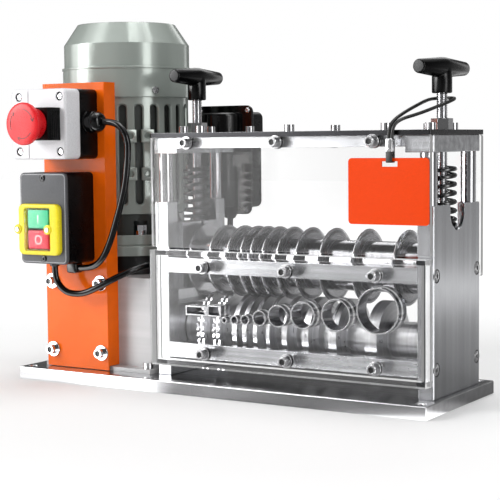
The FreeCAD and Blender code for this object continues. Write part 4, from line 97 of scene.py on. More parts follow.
class Body(Enum):
    """The moving bodies of the machine, by their names in the record."""

    FRAME = "frame"
    CARRIAGE = "blade_carriage"
    LEFT_SCREW = "left_lifting_screw"
    RIGHT_SCREW = "right_lifting_screw"
    BLADE_ROLLER = "blade_roller"
    FEED_DRIVE = "feed_drive"
    ROTOR = "rotor_assembly"
    STOP_STEM = "estop_slider"
    STOP_KNOB = "estop_knob"
    START_KEY = "start_key"
    STOP_KEY = "stop_key"
    TAG = "tag"


class Grain(Enum):
    """The way the brush or grinder ran, as the stretch of its lines along X, Y and Z."""

    ALONG_X = (6.0, 900.0, 900.0)
    ALONG_Y = (900.0, 6.0, 900.0)
    ALONG_Z = (900.0, 900.0, 6.0)


def linear(colour: Colour) -> tuple[float, float, float, float]:
    """Turn a colour as it is seen on a screen into the shader's linear values.

    Args:
        colour: Red, green and blue from 0 to 255.

    Returns:
        The linear red, green and blue with full opacity.
    """
    parts = []
    for part in colour:
        share = part / 255
        parts.append(share / 12.92 if share <= 0.04045 else ((share + 0.055) / 1.055) ** 2.4)
    return (parts[0], parts[1], parts[2], 1.0)


def shaded(colour: Sequence[float], share: float) -> tuple[float, ...]:
    """Return a share of a linear colour, with full opacity."""
    return tuple(part * share for part in colour[:3]) + (1.0,)


def to_mesh(shape: Shape, name: str) -> bpy.types.Mesh:
    """Turn a shape into a named mesh and free it."""
    mesh = bpy.data.meshes.new(name)
    shape.to_mesh(mesh)
    shape.free()
    return mesh


def to_shape(mesh: bpy.types.Mesh) -> Shape:
    """Turn a mesh into a shape and remove it."""
    shape = bmesh.new()
    shape.from_mesh(mesh)
    bpy.data.meshes.remove(mesh)
    return shape


class NodeSheet:
    """A node tree under construction, with short calls that add and join its nodes."""

    def __init__(self, tree: bpy.types.NodeTree) -> None:
        """Keep the tree that the nodes go into."""
        self.tree = tree

    def add(self, kind: str, inputs: Optional[dict] = None, **settings: object) -> bpy.types.Node:
        """Add one node.

        Args:
            kind: The node's type name.
            inputs: Values or sockets for the node's inputs, by name or number.
            **settings: The node's own properties.

        Returns:
            The new node.
        """
        node = self.tree.nodes.new(kind)
        for name, value in settings.items():
            setattr(node, name, value)
        for name, value in (inputs or {}).items():
            if isinstance(value, Socket):
                self.tree.links.new(value, node.inputs[name])
            else:
                node.inputs[name].default_value = value
        return node

    def place(self) -> Socket:
        """Return the place on the object's own axes."""
        return self.add("ShaderNodeTexCoord").outputs["Object"]

    def vector(self, operation: str, first: Value, second: Value) -> Socket:
        """Return the vector that comes of two vectors."""
        return self.add("ShaderNodeVectorMath", {0: first, 1: second}, operation=operation).outputs[0]

    def dot(self, first: Value, second: Value) -> Socket:
        """Return how far two directions agree."""
        return self.add("ShaderNodeVectorMath", {0: first, 1: second}, operation="DOT_PRODUCT").outputs["Value"]

    def length(self, vector: Value) -> Socket:
        """Return the length of a vector."""
        return self.add("ShaderNodeVectorMath", {0: vector}, operation="LENGTH").outputs["Value"]

    def noise(self, **inputs: Value) -> Socket:
        """Return a noise with the given vector, scale and detail."""
        return self.add("ShaderNodeTexNoise", inputs).outputs[0]

    def sum(self, operation: str, first: Value, second: Value = 0.0) -> Socket:
        """Return the result of a sum on one or two values."""
        return self.add("ShaderNodeMath", {0: first, 1: second}, operation=operation).outputs[0]

    def spread(self, value: Value, low: float, high: float, start: float = 0.0, end: float = 1.0) -> Socket:
        """Spread a value between two limits over a new range.

        Args:
            value: The value to spread.
            low: Where the new range starts.
            high: Where the new range ends.
            start: The lowest value that comes in.
            end: The highest value that comes in.

        Returns:
            The clamped result.
        """
        inputs = {"Value": value, "From Min": start, "From Max": end, "To Min": low, "To Max": high}
        return self.add("ShaderNodeMapRange", inputs, clamp=True).outputs[0]

    def blend(self, factor: Value, first: Value, second: Value) -> Socket:
        """Return a colour that goes from the first to the second as the factor goes from 0 to 1."""
        return self.add("ShaderNodeMix", {0: factor, 6: first, 7: second}, data_type="RGBA").outputs[2]

    def bump(self, height: Value, strength: float, distance: float, normal: Value) -> Socket:
        """Return the normal of a height, on top of another normal."""
        inputs = {"Height": height, "Strength": strength, "Distance": distance, "Normal": normal}
        return self.add("ShaderNodeBump", inputs).outputs["Normal"]


class Effect:
    """A shader node group, built once, that gives masks, heights or normals to the finishes."""

    name = ""
    inputs: dict[str, Value] = {}
    outputs: dict[str, str] = {}

    @classmethod
    def place(cls, sheet: NodeSheet, **inputs: Value) -> bpy.types.Node:
        """Place the group in a finish, with its own values."""
        return sheet.add("ShaderNodeGroup", inputs, node_tree=cls.group())

    @classmethod
    def group(cls) -> bpy.types.NodeTree:
        """Return the group's tree, built at the first call."""
        found = bpy.data.node_groups.get(cls.name)
        if found is not None:
            return found
        tree = bpy.data.node_groups.new(cls.name, "ShaderNodeTree")
        for label, value in cls.inputs.items():
            kind = "NodeSocketFloat" if isinstance(value, float) else "NodeSocketVector"
            tree.interface.new_socket(name=label, in_out="INPUT", socket_type=kind).default_value = value
        for label, kind in cls.outputs.items():
            tree.interface.new_socket(name=label, in_out="OUTPUT", socket_type=kind)
        sheet = NodeSheet(tree)
        given = sheet.add("NodeGroupInput").outputs
        result = cls.lay_out(sheet, given)
        sheet.add("NodeGroupOutput", result)
        return tree

    @classmethod
    def lay_out(cls, sheet: NodeSheet, given: bpy.types.bpy_prop_collection) -> dict[str, Value]:
        """Build the nodes of the group.

        Args:
            sheet: The group's tree.
            given: The group's inputs.

        Returns:
            The sockets that feed the group's outputs, by name.
        """
        raise NotImplementedError


class SoftEdges(Effect):
    """Rounds the look of sharp edges and masks them for wear."""

    name = "soft_edges"
    inputs = {"Radius": 0.0005}
    outputs = {"Normal": "NodeSocketVector", "Edge": "NodeSocketFloat"}

    @classmethod
    def lay_out(cls, sheet: NodeSheet, given: bpy.types.bpy_prop_collection) -> dict[str, Value]:
        """Build the rounded normal and the edge mask."""
        rounded = sheet.add("ShaderNodeBevel", {"Radius": given["Radius"]}, samples=4).outputs["Normal"]
        plain = sheet.add("ShaderNodeNewGeometry").outputs["Normal"]
        return {"Normal": rounded, "Edge": sheet.spread(sheet.dot(rounded, plain), 1.0, 0.0, 0.88, 0.995)}


class BrushLines(Effect):
    """Fine parallel lines from a brush, belt or grinder, with broad streaks among them."""

    name = "brush_lines"
    inputs = {"Stretch": (900.0, 900.0, 6.0)}
    outputs = {"Height": "NodeSocketFloat", "Tone": "NodeSocketFloat"}

    @classmethod
    def lay_out(cls, sheet: NodeSheet, given: bpy.types.bpy_prop_collection) -> dict[str, Value]:
        """Build fine lines for the height and wide streaks for the tone."""
        fine = sheet.vector("MULTIPLY", sheet.place(), given["Stretch"])
        wide = sheet.add("ShaderNodeVectorMath", {0: fine, "Scale": 0.16}, operation="SCALE").outputs[0]
        lines = sheet.noise(Vector=fine, Scale=1.6, Detail=3.0)
        streaks = sheet.noise(Vector=wide, Scale=1.0, Detail=2.0)
        return {"Height": lines, "Tone": sheet.spread(streaks, 0.0, 1.0, 0.3, 0.7)}


class SurfaceGrain(Effect):
    """A fine even grain, as on cast metal, textured plastic or powder coat."""

    name = "surface_grain"
    inputs = {"Scale": 1500.0}
    outputs = {"Height": "NodeSocketFloat", "Mask": "NodeSocketFloat"}

    @classmethod
    def lay_out(cls, sheet: NodeSheet, given: bpy.types.bpy_prop_collection) -> dict[str, Value]:
        """Build a rounded grain from noise."""
        noise = sheet.noise(Vector=sheet.place(), Scale=given["Scale"], Detail=2.0, Roughness=0.45)
        return {"Height": noise, "Mask": sheet.spread(noise, 0.0, 1.0, 0.35, 0.65)}


class Handling(Effect):
    """Large soft patches where hands, oil and cloths have dulled a surface."""

    name = "handling"
    inputs = {"Scale": 14.0}
    outputs = {"Mask": "NodeSocketFloat"}

    @classmethod
    def lay_out(cls, sheet: NodeSheet, given: bpy.types.bpy_prop_collection) -> dict[str, Value]:
        """Build patches with cloudy rims."""
        noise = sheet.noise(Vector=sheet.place(), Scale=given["Scale"], Detail=5.0, Roughness=0.6, Distortion=0.6)
        return {"Mask": sheet.spread(noise, 0.0, 1.0, 0.38, 0.66)}


class Hollows(Effect):
    """Painted shade inside the slots of a ribbed drum that stands upright."""

    name = "painted_slot_shade"
    inputs = {"Centre": (0.0, 0.0, 0.0), "Radius": 0.06, "Top": 0.3}
    outputs = {"Mask": "NodeSocketFloat"}

    @classmethod
    def lay_out(cls, sheet: NodeSheet, given: bpy.types.bpy_prop_collection) -> dict[str, Value]:
        """Build a mask of what lies under the drum's skin, where the shade is painted."""
        local = sheet.vector("SUBTRACT", sheet.place(), given["Centre"])
        apart = sheet.add("ShaderNodeSeparateXYZ", {0: local})
        flat = sheet.add("ShaderNodeCombineXYZ", {"X": apart.outputs["X"], "Y": apart.outputs["Y"]}).outputs[0]
        depth = sheet.sum("SUBTRACT", given["Radius"], sheet.length(flat))
        inside = sheet.spread(depth, 0.0, 1.0, 0.0, 0.003)
        below = sheet.sum("LESS_THAN", apart.outputs["Z"], given["Top"])
        return {"Mask": sheet.sum("MULTIPLY", inside, below)}


class LatheLines(Effect):
    """The rings that a lathe leaves round a shaft that lies along X."""

    name = "lathe_lines"
    inputs = {"Centre": FEED_AXIS, "Pitch": LATHE_PITCH}
    outputs = {"Height": "NodeSocketFloat", "Tone": "NodeSocketFloat", "Radius": "NodeSocketFloat"}

    @classmethod
    def lay_out(cls, sheet: NodeSheet, given: bpy.types.bpy_prop_collection) -> dict[str, Value]:
        """Build rings along the shaft and round its shoulders."""
        local = sheet.vector("SUBTRACT", sheet.place(), given["Centre"])
        apart = sheet.add("ShaderNodeSeparateXYZ", {0: local})
        flat = sheet.add("ShaderNodeCombineXYZ", {"Y": apart.outputs["Y"], "Z": apart.outputs["Z"]}).outputs[0]
        radius = sheet.length(flat)
        along = sheet.sum("MULTIPLY", sheet.sum("ADD", apart.outputs["X"], radius), given["Pitch"])
        fine = sheet.add("ShaderNodeTexNoise", {"W": along, "Scale": 1.0, "Detail": 2.0}, noise_dimensions="1D")
        slow = sheet.sum("MULTIPLY", along, 0.12)
        wide = sheet.add("ShaderNodeTexNoise", {"W": slow, "Scale": 1.0, "Detail": 1.0}, noise_dimensions="1D")
        tone = sheet.spread(wide.outputs[0], 0.0, 1.0, 0.3, 0.7)
        return {"Height": fine.outputs[0], "Tone": tone, "Radius": radius}


@dataclass(frozen=True)
class Finish:
    """A finish of one or more pieces: its name, its colour and how rough it is."""

    name: str
    colour: Colour
    roughness: float = 0.4
    edge_radius: float = 0.0005

    def material(self) -> bpy.types.Material:
        """Return the finish's material, built at the first call."""
        found = bpy.data.materials.get(self.name)
        if found is not None:
            return found
        made = bpy.data.materials.new(self.name)
        made.use_nodes = True
        made.node_tree.nodes.clear()
        sheet = NodeSheet(made.node_tree)
        shader = sheet.add("ShaderNodeBsdfPrincipled")
        sheet.add("ShaderNodeOutputMaterial", {"Surface": shader.outputs[0]})
        for label, value in self.surface(sheet).items():
            if isinstance(value, Socket):
                made.node_tree.links.new(value, shader.inputs[label])
            else:
                shader.inputs[label].default_value = value
        return made

    def surface(self, sheet: NodeSheet) -> dict[str, Value]:
        """Build the nodes behind the shader.

        Args:
            sheet: The material's tree.

        Returns:
            Values and sockets for the shader's inputs, by name.
        """
        raise NotImplementedError


@dataclass(frozen=True)
class BrushedMetal(Finish):
    """Bare metal with fine parallel lines and a brighter broken edge."""

    grain: Grain = Grain.ALONG_Z
    depth: float = 0.10
    shade: float = 0.82
    metallic: float = 1.0

    def surface(self, sheet: NodeSheet) -> dict[str, Value]:
        """Build the streaked colour, the uneven sheen and the lines."""
        edges = SoftEdges.place(sheet, Radius=self.edge_radius)
        lines = BrushLines.place(sheet, Stretch=self.grain.value)
        patches = Handling.place(sheet, Scale=11.0)
        bright = linear(self.colour)
        streaked = sheet.blend(lines.outputs["Tone"], shaded(bright, self.shade), bright)
        edged = sheet.blend(sheet.spread(edges.outputs["Edge"], 0.0, 0.5), streaked, linear(WORN_STEEL))
        rough = sheet.spread(patches.outputs["Mask"], self.roughness * 0.88, self.roughness * 1.2)
        return {
            "Base Color": edged,
            "Metallic": self.metallic,
            "Roughness": sheet.sum("ADD", rough, sheet.spread(lines.outputs["Tone"], -0.03, 0.03)),
            "Normal": sheet.bump(lines.outputs["Height"], self.depth, FINE_RELIEF, edges.outputs["Normal"]),
        }


@dataclass(frozen=True)
class TurnedMetal(Finish):
    """Metal from the lathe, with rings round its shaft."""

    centre: Point = FEED_AXIS
    depth: float = 0.12
    shade: float = 0.8
    # Radius past which the colour lightens as a painted highlight on the rim.
    rim: float = 1.0

    def surface(self, sheet: NodeSheet) -> dict[str, Value]:
        """Build the ringed colour and sheen, the worn edges and a painted highlight on the rims."""
        edges = SoftEdges.place(sheet, Radius=self.edge_radius)
        rings = LatheLines.place(sheet, Centre=self.centre, Pitch=LATHE_PITCH)
        patches = Handling.place(sheet, Scale=26.0)
        bright = linear(self.colour)
        ringed = sheet.blend(rings.outputs["Tone"], shaded(bright, self.shade), bright)
        worn = sheet.spread(edges.outputs["Edge"], 0.0, 0.6)
        # Painted highlight: the colour lightens past the rim's radius.
        rim_highlight = sheet.spread(rings.outputs["Radius"], 0.0, 0.5, self.rim - 0.0002, self.rim)
        edged = sheet.blend(sheet.sum("MAXIMUM", worn, rim_highlight), ringed, linear(WEAR_AND_RIM_HIGHLIGHT))
        rough = sheet.spread(patches.outputs["Mask"], self.roughness * 0.85, self.roughness * 1.2)
        return {
            "Base Color": edged,
            "Metallic": 1.0,
            "Roughness": sheet.sum("ADD", rough, sheet.spread(rings.outputs["Tone"], -0.03, 0.04)),
            "Normal": sheet.bump(rings.outputs["Height"], self.depth, FINE_RELIEF, edges.outputs["Normal"]),
        }


@dataclass(frozen=True)
class PlatedMetal(Finish):
    """Nickel plating or polished steel with faint wipe marks."""

    def surface(self, sheet: NodeSheet) -> dict[str, Value]:
        """Build the faint marks in colour and sheen."""
        edges = SoftEdges.place(sheet, Radius=self.edge_radius)
        patches = Handling.place(sheet, Scale=70.0)
        grain = SurfaceGrain.place(sheet, Scale=2400.0)
        bright = linear(self.colour)
        return {
            "Base Color": sheet.blend(patches.outputs["Mask"], bright, shaded(bright, 0.86)),
            "Metallic": 1.0,
            "Roughness": sheet.spread(patches.outputs["Mask"], self.roughness * 0.8, self.roughness * 1.35),
            "Normal": sheet.bump(grain.outputs["Height"], 0.03, FINE_RELIEF / 2, edges.outputs["Normal"]),
        }


@dataclass(frozen=True)
class Paint(Finish):
    """Paint or powder coat with its slight texture and thin edges."""

    texture: float = 900.0
    relief: float = 0.12
    cavity: float = 0.86
    metallic: float = 0.0
    shine: float = 0.5
    hollow: Optional[tuple[Point, float, float]] = None

    def surface(self, sheet: NodeSheet) -> dict[str, Value]:
        """Build the coat's uneven tone, its texture, its thinner edges and any painted shade in its slots."""
        edges = SoftEdges.place(sheet, Radius=self.edge_radius)
        grain = SurfaceGrain.place(sheet, Scale=self.texture)
        patches = Handling.place(sheet, Scale=18.0)
        full = linear(self.colour)
        toned = sheet.blend(patches.outputs["Mask"], full, shaded(full, self.cavity))
        rim = linear(tuple(min(255, part + 22) for part in self.colour))
        edged = sheet.blend(sheet.spread(edges.outputs["Edge"], 0.0, 0.45), toned, rim)
        # Painted shade: the colour darkens to 16 % inside the drum's slots.
        if self.hollow:
            centre, radius, top = self.hollow
            painted_slot_shade = Hollows.place(sheet, Centre=centre, Radius=radius, Top=top)
            edged = sheet.blend(painted_slot_shade.outputs["Mask"], edged, shaded(full, 0.16))
        rough = sheet.spread(grain.outputs["Mask"], self.roughness * 0.85, self.roughness * 1.15)
        return {
            "Base Color": edged,
            "Metallic": self.metallic,
            "Specular IOR Level": self.shine,
            "Roughness": sheet.sum("ADD", rough, sheet.spread(patches.outputs["Mask"], -0.03, 0.05)),
            "Normal": sheet.bump(grain.outputs["Height"], self.relief, 0.0003, edges.outputs["Normal"]),
        }


@dataclass(frozen=True)
class MouldedPlastic(Finish):
    """Moulded plastic, smooth or with a spark-eroded grain."""

    texture: float = 2200.0
    relief: float = 0.15
    shine: float = 0.5

    def surface(self, sheet: NodeSheet) -> dict[str, Value]:
        """Build the grain, its tone and the hand-polished patches."""
        edges = SoftEdges.place(sheet, Radius=self.edge_radius)
        grain = SurfaceGrain.place(sheet, Scale=self.texture)
        patches = Handling.place(sheet, Scale=30.0)
        full = linear(self.colour)
        toned = sheet.blend(grain.outputs["Mask"], shaded(full, 0.84), full)
        rough = sheet.spread(patches.outputs["Mask"], self.roughness * 0.85, self.roughness * 1.15)
        return {
            "Base Color": toned,
            "Specular IOR Level": self.shine,
            "Roughness": sheet.sum("ADD", rough, sheet.spread(grain.outputs["Mask"], -0.04, 0.04)),
            "Normal": sheet.bump(grain.outputs["Height"], self.relief, FINE_RELIEF, edges.outputs["Normal"]),
        }


@dataclass(frozen=True)
class ClearSheet(Finish):
    """Clear acrylic with faint haze where it has been wiped."""

    refraction: float = 1.45
    cut_edge: float = 0.0

    def surface(self, sheet: NodeSheet) -> dict[str, Value]:
        """Build the haze, the body and a painted glow on the cut edges."""
        patches = Handling.place(sheet, Scale=9.0)
        tint = linear(self.colour)
        normal = sheet.add("ShaderNodeNewGeometry").outputs["True Normal"]
        facing = sheet.add("ShaderNodeSeparateXYZ", {0: normal}).outputs["Y"]
        # Painted light: faces that do not face front or back glow as if lit.
        edge = sheet.spread(sheet.sum("ABSOLUTE", facing), self.cut_edge, 0.0, 0.4, 0.6)
        return {
            "Base Color": sheet.blend(patches.outputs["Mask"], tint, shaded(tint, 0.99)),
            "Transmission Weight": 1.0,
            "IOR": self.refraction,
            "Roughness": sheet.spread(patches.outputs["Mask"], 0.0, self.roughness),
            "Emission Color": sheet.blend(edge, BLACK, WHITE),
            "Emission Strength": 1.0,
        }


@dataclass(frozen=True)
class Bench:
    """Turns shapes into pieces that ride on the machine's bodies, and dresses its solids."""

    nodes: dict[str, bpy.types.Object] = field(default_factory=dict)

    def dress(self, finish: Finish, *names: str) -> None:
        """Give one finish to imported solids."""
        for name in names:
            for slot in self.nodes[name].material_slots:
                slot.material = finish.material()

    def piece(
        self, name: str, shape: Shape, finish: Finish, body: Body, crease: float = 32.0,
        stands_for: str = "",
    ) -> bpy.types.Object:
        """Make a piece from a shape that stands in its place.

        Args:
            name: The piece's name.
            shape: The bmesh, which is freed.
            finish: The piece's finish.
            body: The body that it rides on.
            crease: The angle in degrees past which an edge stays sharp.
            stands_for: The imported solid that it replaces, if any.

        Returns:
            The piece's object.
        """
        for face in shape.faces:
            face.smooth = True
        for edge in shape.edges:
            if len(edge.link_faces) != 2 or edge.calc_face_angle(0.0) > math.radians(crease):
                edge.smooth = False
        mesh = to_mesh(shape, name)
        mesh.materials.append(finish.material())
        made = self.settle(bpy.data.objects.new(name, mesh), body)
        if stands_for:
            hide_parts(stands_for)
        return made

    def settle(self, made: bpy.types.Object, body: Body) -> bpy.types.Object:
        """Link a made object and let it ride on its body."""
        bpy.context.scene.collection.objects.link(made)
        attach(made, body.value)
        LOG.info("piece %s on %s", made.name, body.value)
        return made


def turned(profile: Sequence[tuple[float, float]], centre: Point, axis: Vector, steps: int = 48) -> Shape:
    """Turn a closed profile round an axis.

    Args:
        profile: Points as (place along the axis, radius), from end to end.
        centre: A point on the axis, from which the places are measured.
        axis: The axis as a unit vector.
        steps: How many sides the turn has.

    Returns:
        A bmesh of the closed shape.
    """
    shape = bmesh.new()
    turn = axis.to_track_quat("Z", "Y").to_matrix().to_4x4()
    points = [shape.verts.new((radius, 0.0, along)) for along, radius in profile]
    edges = [shape.edges.new((first, second)) for first, second in zip(points, points[1:])]
    bmesh.ops.spin(
        shape, geom=points + edges, cent=ORIGIN, axis=UP, angle=FULL_TURN, steps=steps, use_merge=True,
    )
    bmesh.ops.remove_doubles(shape, verts=shape.verts, dist=WELD)
    bmesh.ops.dissolve_degenerate(shape, edges=shape.edges, dist=1e-8)
    bmesh.ops.recalc_face_normals(shape, faces=shape.faces)
    bmesh.ops.transform(shape, matrix=Matrix.Translation(centre) @ turn, verts=shape.verts)
    return shape


def box(low: Point, high: Point, bevel: float = 0.0, segments: int = 3) -> Shape:
    """Make a block between two corners, with rounded edges."""
    shape = bmesh.new()
    size = Vector(high) - Vector(low)
    middle = (Vector(high) + Vector(low)) / 2
    place = Matrix.Translation(middle) @ Matrix.Diagonal((*size, 1.0))
    bmesh.ops.create_cube(shape, size=1.0, matrix=place)
    if bevel:
        bmesh.ops.bevel(
            shape, geom=shape.edges[:], offset=bevel, segments=segments, profile=0.5, affect="EDGES", material=-1,
        )
    return shape


def joined(*shapes: Shape) -> Shape:
    """Put several shapes into the first one and free the others."""
    first = shapes[0]
    for other in shapes[1:]:
        mesh = to_mesh(other, "joining")
        first.from_mesh(mesh)
        bpy.data.meshes.remove(mesh)
    return first


def slab(low: Point, high: Point, corner: float, rim: float, way: Vector = FRONT, segments: int = 5) -> Shape:
    """Make a block with rounded corners and a rounded rim on the side that faces one way.

    Args:
        low: Its lowest corner.
        high: Its highest corner.
        corner: The radius of the four corners.
        rim: The radius of the rim.
        way: The direction that the rounded side faces.
        segments: How many steps each rounding has.

    Returns:
        A bmesh of the closed block.
    """
    shape = box(low, high)
    along = [edge for edge in shape.edges if abs((edge.verts[0].co - edge.verts[1].co).normalized().dot(way)) > 0.9]
    bmesh.ops.bevel(
        shape, geom=along, offset=corner, segments=segments, profile=0.5, affect="EDGES", material=-1,
    )
    front = max(shape.faces, key=lambda face: face.calc_center_median().dot(way))
    bmesh.ops.bevel(
        shape, geom=front.edges[:], offset=rim, segments=segments, profile=0.5, affect="EDGES", material=-1,
        clamp_overlap=True,
    )
    return shape


def carved(shape: Shape, *tools: Shape) -> Shape:
    """Cut tools out of a shape, and free them all.

    Args:
        shape: The closed shape.
        *tools: Closed shapes to cut away.

    Returns:
        A bmesh of what is left.
    """
    things = []
    for name, part in (("carved", shape), ("cutter", joined(*tools))):
        thing = bpy.data.objects.new(name, to_mesh(part, name))
        bpy.context.scene.collection.objects.link(thing)
        things.append(thing)
    cut = things[0].modifiers.new("cut", "BOOLEAN")
    cut.operation = "DIFFERENCE"
    cut.solver = "EXACT"
    cut.use_self = True
    cut.object = things[1]
    left = bpy.data.meshes.new_from_object(things[0].evaluated_get(bpy.context.evaluated_depsgraph_get()))
    result = to_shape(left)
    for thing in things:
        mesh = thing.data
        bpy.data.objects.remove(thing)
        bpy.data.meshes.remove(mesh)
    return result


def prism(centre: Point, axis: Vector, radius: float, length: float, sides: int) -> Shape:
    """Make a straight prism or cylinder that starts at a point and runs along an axis.

    Args:
        centre: The middle of its first end.
        axis: The way it runs, as a unit vector.
        radius: The radius of its corners.
        length: Its length.
        sides: How many sides it has.

    Returns:
        A bmesh of the closed prism.
    """
    shape = bmesh.new()
    turn = axis.to_track_quat("Z", "Y").to_matrix().to_4x4()
    bmesh.ops.create_cone(
        shape, cap_ends=True, segments=sides, radius1=radius, radius2=radius, depth=length,
        matrix=Matrix.Translation(Vector(centre) + axis * length / 2) @ turn,
    )
    return shape


def socket_screw(
    seat: Point, axis: Vector, head: tuple[float, float], washer: tuple[float, float] = (0.0, 0.0),
) -> Shape:
    """Make the visible end of a socket screw on its washer.

    Args:
        seat: Where the washer or the head touches the work.
        axis: The way out of the work, as a unit vector.
        head: The head's radius and height.
        washer: The washer's radius and thickness.

    Returns:
        A bmesh of the screw.
    """
    radius, height = head
    disc, thick = washer
    edge = 0.0005
    profile = [(-0.0002, 0.0)]
    if disc:
        profile += [(-0.0002, disc - edge / 2), (0.0, disc), (thick - edge / 2, disc), (thick, disc - edge / 2)]
    profile += [
        (thick, radius), (thick + height - edge, radius), (thick + height, radius - edge), (thick + height, 0.0),
    ]
    start = Vector(seat) + axis * (thick + height * 0.45)
    return carved(turned(profile, seat, axis, 40), prism(tuple(start), axis, radius * 0.64, height, 6))


def socket_well(seat: Point, axis: Vector, head: tuple[float, float]) -> Shape:
    """Make the prism that fills a socket screw's well, which carries painted shade."""
    radius, height = head
    start = Vector(seat) + axis * height * 0.3
    return prism(tuple(start), axis, radius * 0.636, height * 0.5, 6)


def lettering(text: str, size: float, depth: float, place: Matrix) -> Shape:
    """Set a short text as thin raised print.

    Args:
        text: The characters.
        size: The height of the type.
        depth: How far the print stands proud.
        place: Where the middle of the text goes; it is read from its local Z.

    Returns:
        A bmesh of the print.
    """
    curve = bpy.data.curves.new("type", "FONT")
    curve.body = text
    curve.size = size
    curve.align_x = "CENTER"
    curve.align_y = "CENTER"
    curve.extrude = depth / 2
    thing = bpy.data.objects.new("type", curve)
    mesh = bpy.data.meshes.new_from_object(thing)
    bpy.data.objects.remove(thing)
    bpy.data.curves.remove(curve)
    shape = to_shape(mesh)
    bmesh.ops.remove_doubles(shape, verts=shape.verts, dist=WELD)
    bmesh.ops.transform(shape, matrix=place, verts=shape.verts)
    return shape


# Finishes
NICKEL = PlatedMetal("bright_nickel", (212, 212, 214), 0.14, 0.0003)
POLISHED = PlatedMetal("polished_steel", (196, 196, 199), 0.12, 0.0003)
BASE_STEEL = BrushedMetal("ground_base_steel", (186, 186, 188), 0.2, 0.0008, Grain.ALONG_X, 0.02)
END_ALLOY = BrushedMetal("brushed_end_alloy", (192, 193, 196), 0.2, 0.0005, Grain.ALONG_Z, 0.03)
BAR_ALLOY = BrushedMetal("brushed_bar_alloy", (214, 215, 218), 0.22, 0.0005, Grain.ALONG_X, 0.04, 0.7)
GEARBOX_ALLOY = BrushedMetal("linished_gearbox_alloy", (182, 182, 183), 0.4, 0.0008, Grain.ALONG_X, 0.06, 0.86, 0.1)
TOP_STEEL = BrushedMetal("dark_top_plate", (64, 64, 66), 0.28, 0.0004, Grain.ALONG_X, 0.02)
FEED_STEEL = TurnedMetal("turned_feed_steel", (216, 216, 218), 0.34, 0.0004, FEED_AXIS, 0.06)
SHAFT_STEEL = TurnedMetal("turned_shaft_steel", (190, 190, 193), 0.15, 0.0004, BLADE_AXIS, 0.04)
# The blades carry a painted highlight on their rims.
BLADE_STEEL = TurnedMetal("ground_blade_steel", (158, 158, 161), 0.24, 0.0004, BLADE_AXIS, 0.04, 0.8, 0.0326)
ROTOR_STEEL = BrushedMetal("rotor_steel", (150, 150, 152), 0.4, 0.0004, Grain.ALONG_Z)
BRONZE = PlatedMetal("cut_bronze", (184, 140, 82), 0.35, 0.0003)
# The guards' cut edges glow with painted light.
ACRYLIC = ClearSheet("guard_acrylic", (255, 255, 255), 0.02, cut_edge=0.26)
ORANGE = Paint("orange_powder_coat", (253, 108, 14), 0.18, 0.0008, 1100.0, 0.02, shine=0.16)
# The motor enamel carries painted shade inside the body's slots.
MOTOR_PAINT = Paint(
    "motor_enamel", (164, 172, 166), 0.16, 0.0008, 380.0, 0.0, cavity=0.96, metallic=0.22,
    hollow=((-0.165, 0.034, 0.0), 0.0622, 0.277),
)
ADAPTER_PAINT = Paint("black_adapter_enamel", (12, 12, 13), 0.34, 0.0006, 700.0, 0.1)
BLACK_BOX = MouldedPlastic("black_box_plastic", (5, 5, 6), 0.3, 0.0008, 1500.0, 0.03, 0.18)
FAN_BLACK = MouldedPlastic("moulded_fan_plastic", (26, 26, 27), 0.5)
COVER_GREY = MouldedPlastic("pale_cover_plastic", (234, 234, 237), 0.34, 0.0012, 1700.0, 0.04)
SWITCH_GREY = MouldedPlastic("grey_switch_plate", (84, 85, 88), 0.46, 0.0006, 1400.0, 0.3, 0.25)
# A painted highlight line round the switch plate's rim.
SWITCH_RIM_HIGHLIGHT = MouldedPlastic("painted_plate_rim_highlight", (150, 151, 154), 0.3, 0.0004, 1400.0, 0.05)
SWITCH_YELLOW = MouldedPlastic("yellow_frame_plastic", (246, 226, 40), 0.24, 0.0008, 900.0, 0.03, 0.25)
START_GREEN = MouldedPlastic("green_key_plastic", (76, 186, 138), 0.24, 0.0006, 900.0, 0.04, 0.2)
STOP_RED = MouldedPlastic("red_key_plastic", (200, 44, 62), 0.24, 0.0006, 900.0, 0.04, 0.2)
KNOB_RED = MouldedPlastic("red_knob_plastic", (226, 28, 36), 0.3, 0.0008, 1300.0, 0.03, 0.3)
ARROW_RED = MouldedPlastic("arrow_red_print", (84, 4, 10), 0.5, 0.0001)
HANDLE_BLACK = MouldedPlastic("black_handle_plastic", (5, 5, 6), 0.2, 0.0008, 1200.0, 0.015, 0.24)
HANDLE_CAP = MouldedPlastic("grey_end_cap_plastic", (40, 41, 42), 0.45, 0.0004, 1200.0, 0.05, 0.3)
SPRING_BLACK = MouldedPlastic("black_spring_enamel", (6, 6, 7), 0.16, 0.0003, 1600.0, 0.0, 1.0)
CABLE_BLACK = MouldedPlastic("black_cable_sheath", (4, 4, 5), 0.12, 0.0003, 1600.0, 0.015, 0.4)
STRAP_BLACK = MouldedPlastic("black_strap_rubber", (14, 14, 13), 0.45, 0.0003, 1400.0, 0.12)
TAG_ORANGE = MouldedPlastic("orange_tag_card", (243, 70, 2), 0.4, 0.0002, 1500.0, 0.04, 0.16)
BLACK_GLOSS = MouldedPlastic("glossy_black_plastic", (5, 5, 6), 0.14, 0.0006, 1200.0, 0.015, 0.4)
CLEAR_FILM = ClearSheet("clear_film", (255, 255, 255), 0.03, refraction=1.12)
# Painted shade for the wells of screw sockets and the gaps round screw heads.
SOCKET_SHADE = MouldedPlastic("painted_socket_shade", (14, 14, 15), 0.4, 0.0001)
PRINT_DARK = MouldedPlastic("dark_print", (38, 38, 40), 0.5, 0.0001)
PRINT_WHITE = MouldedPlastic("white_print", (236, 236, 232), 0.5, 0.0001)


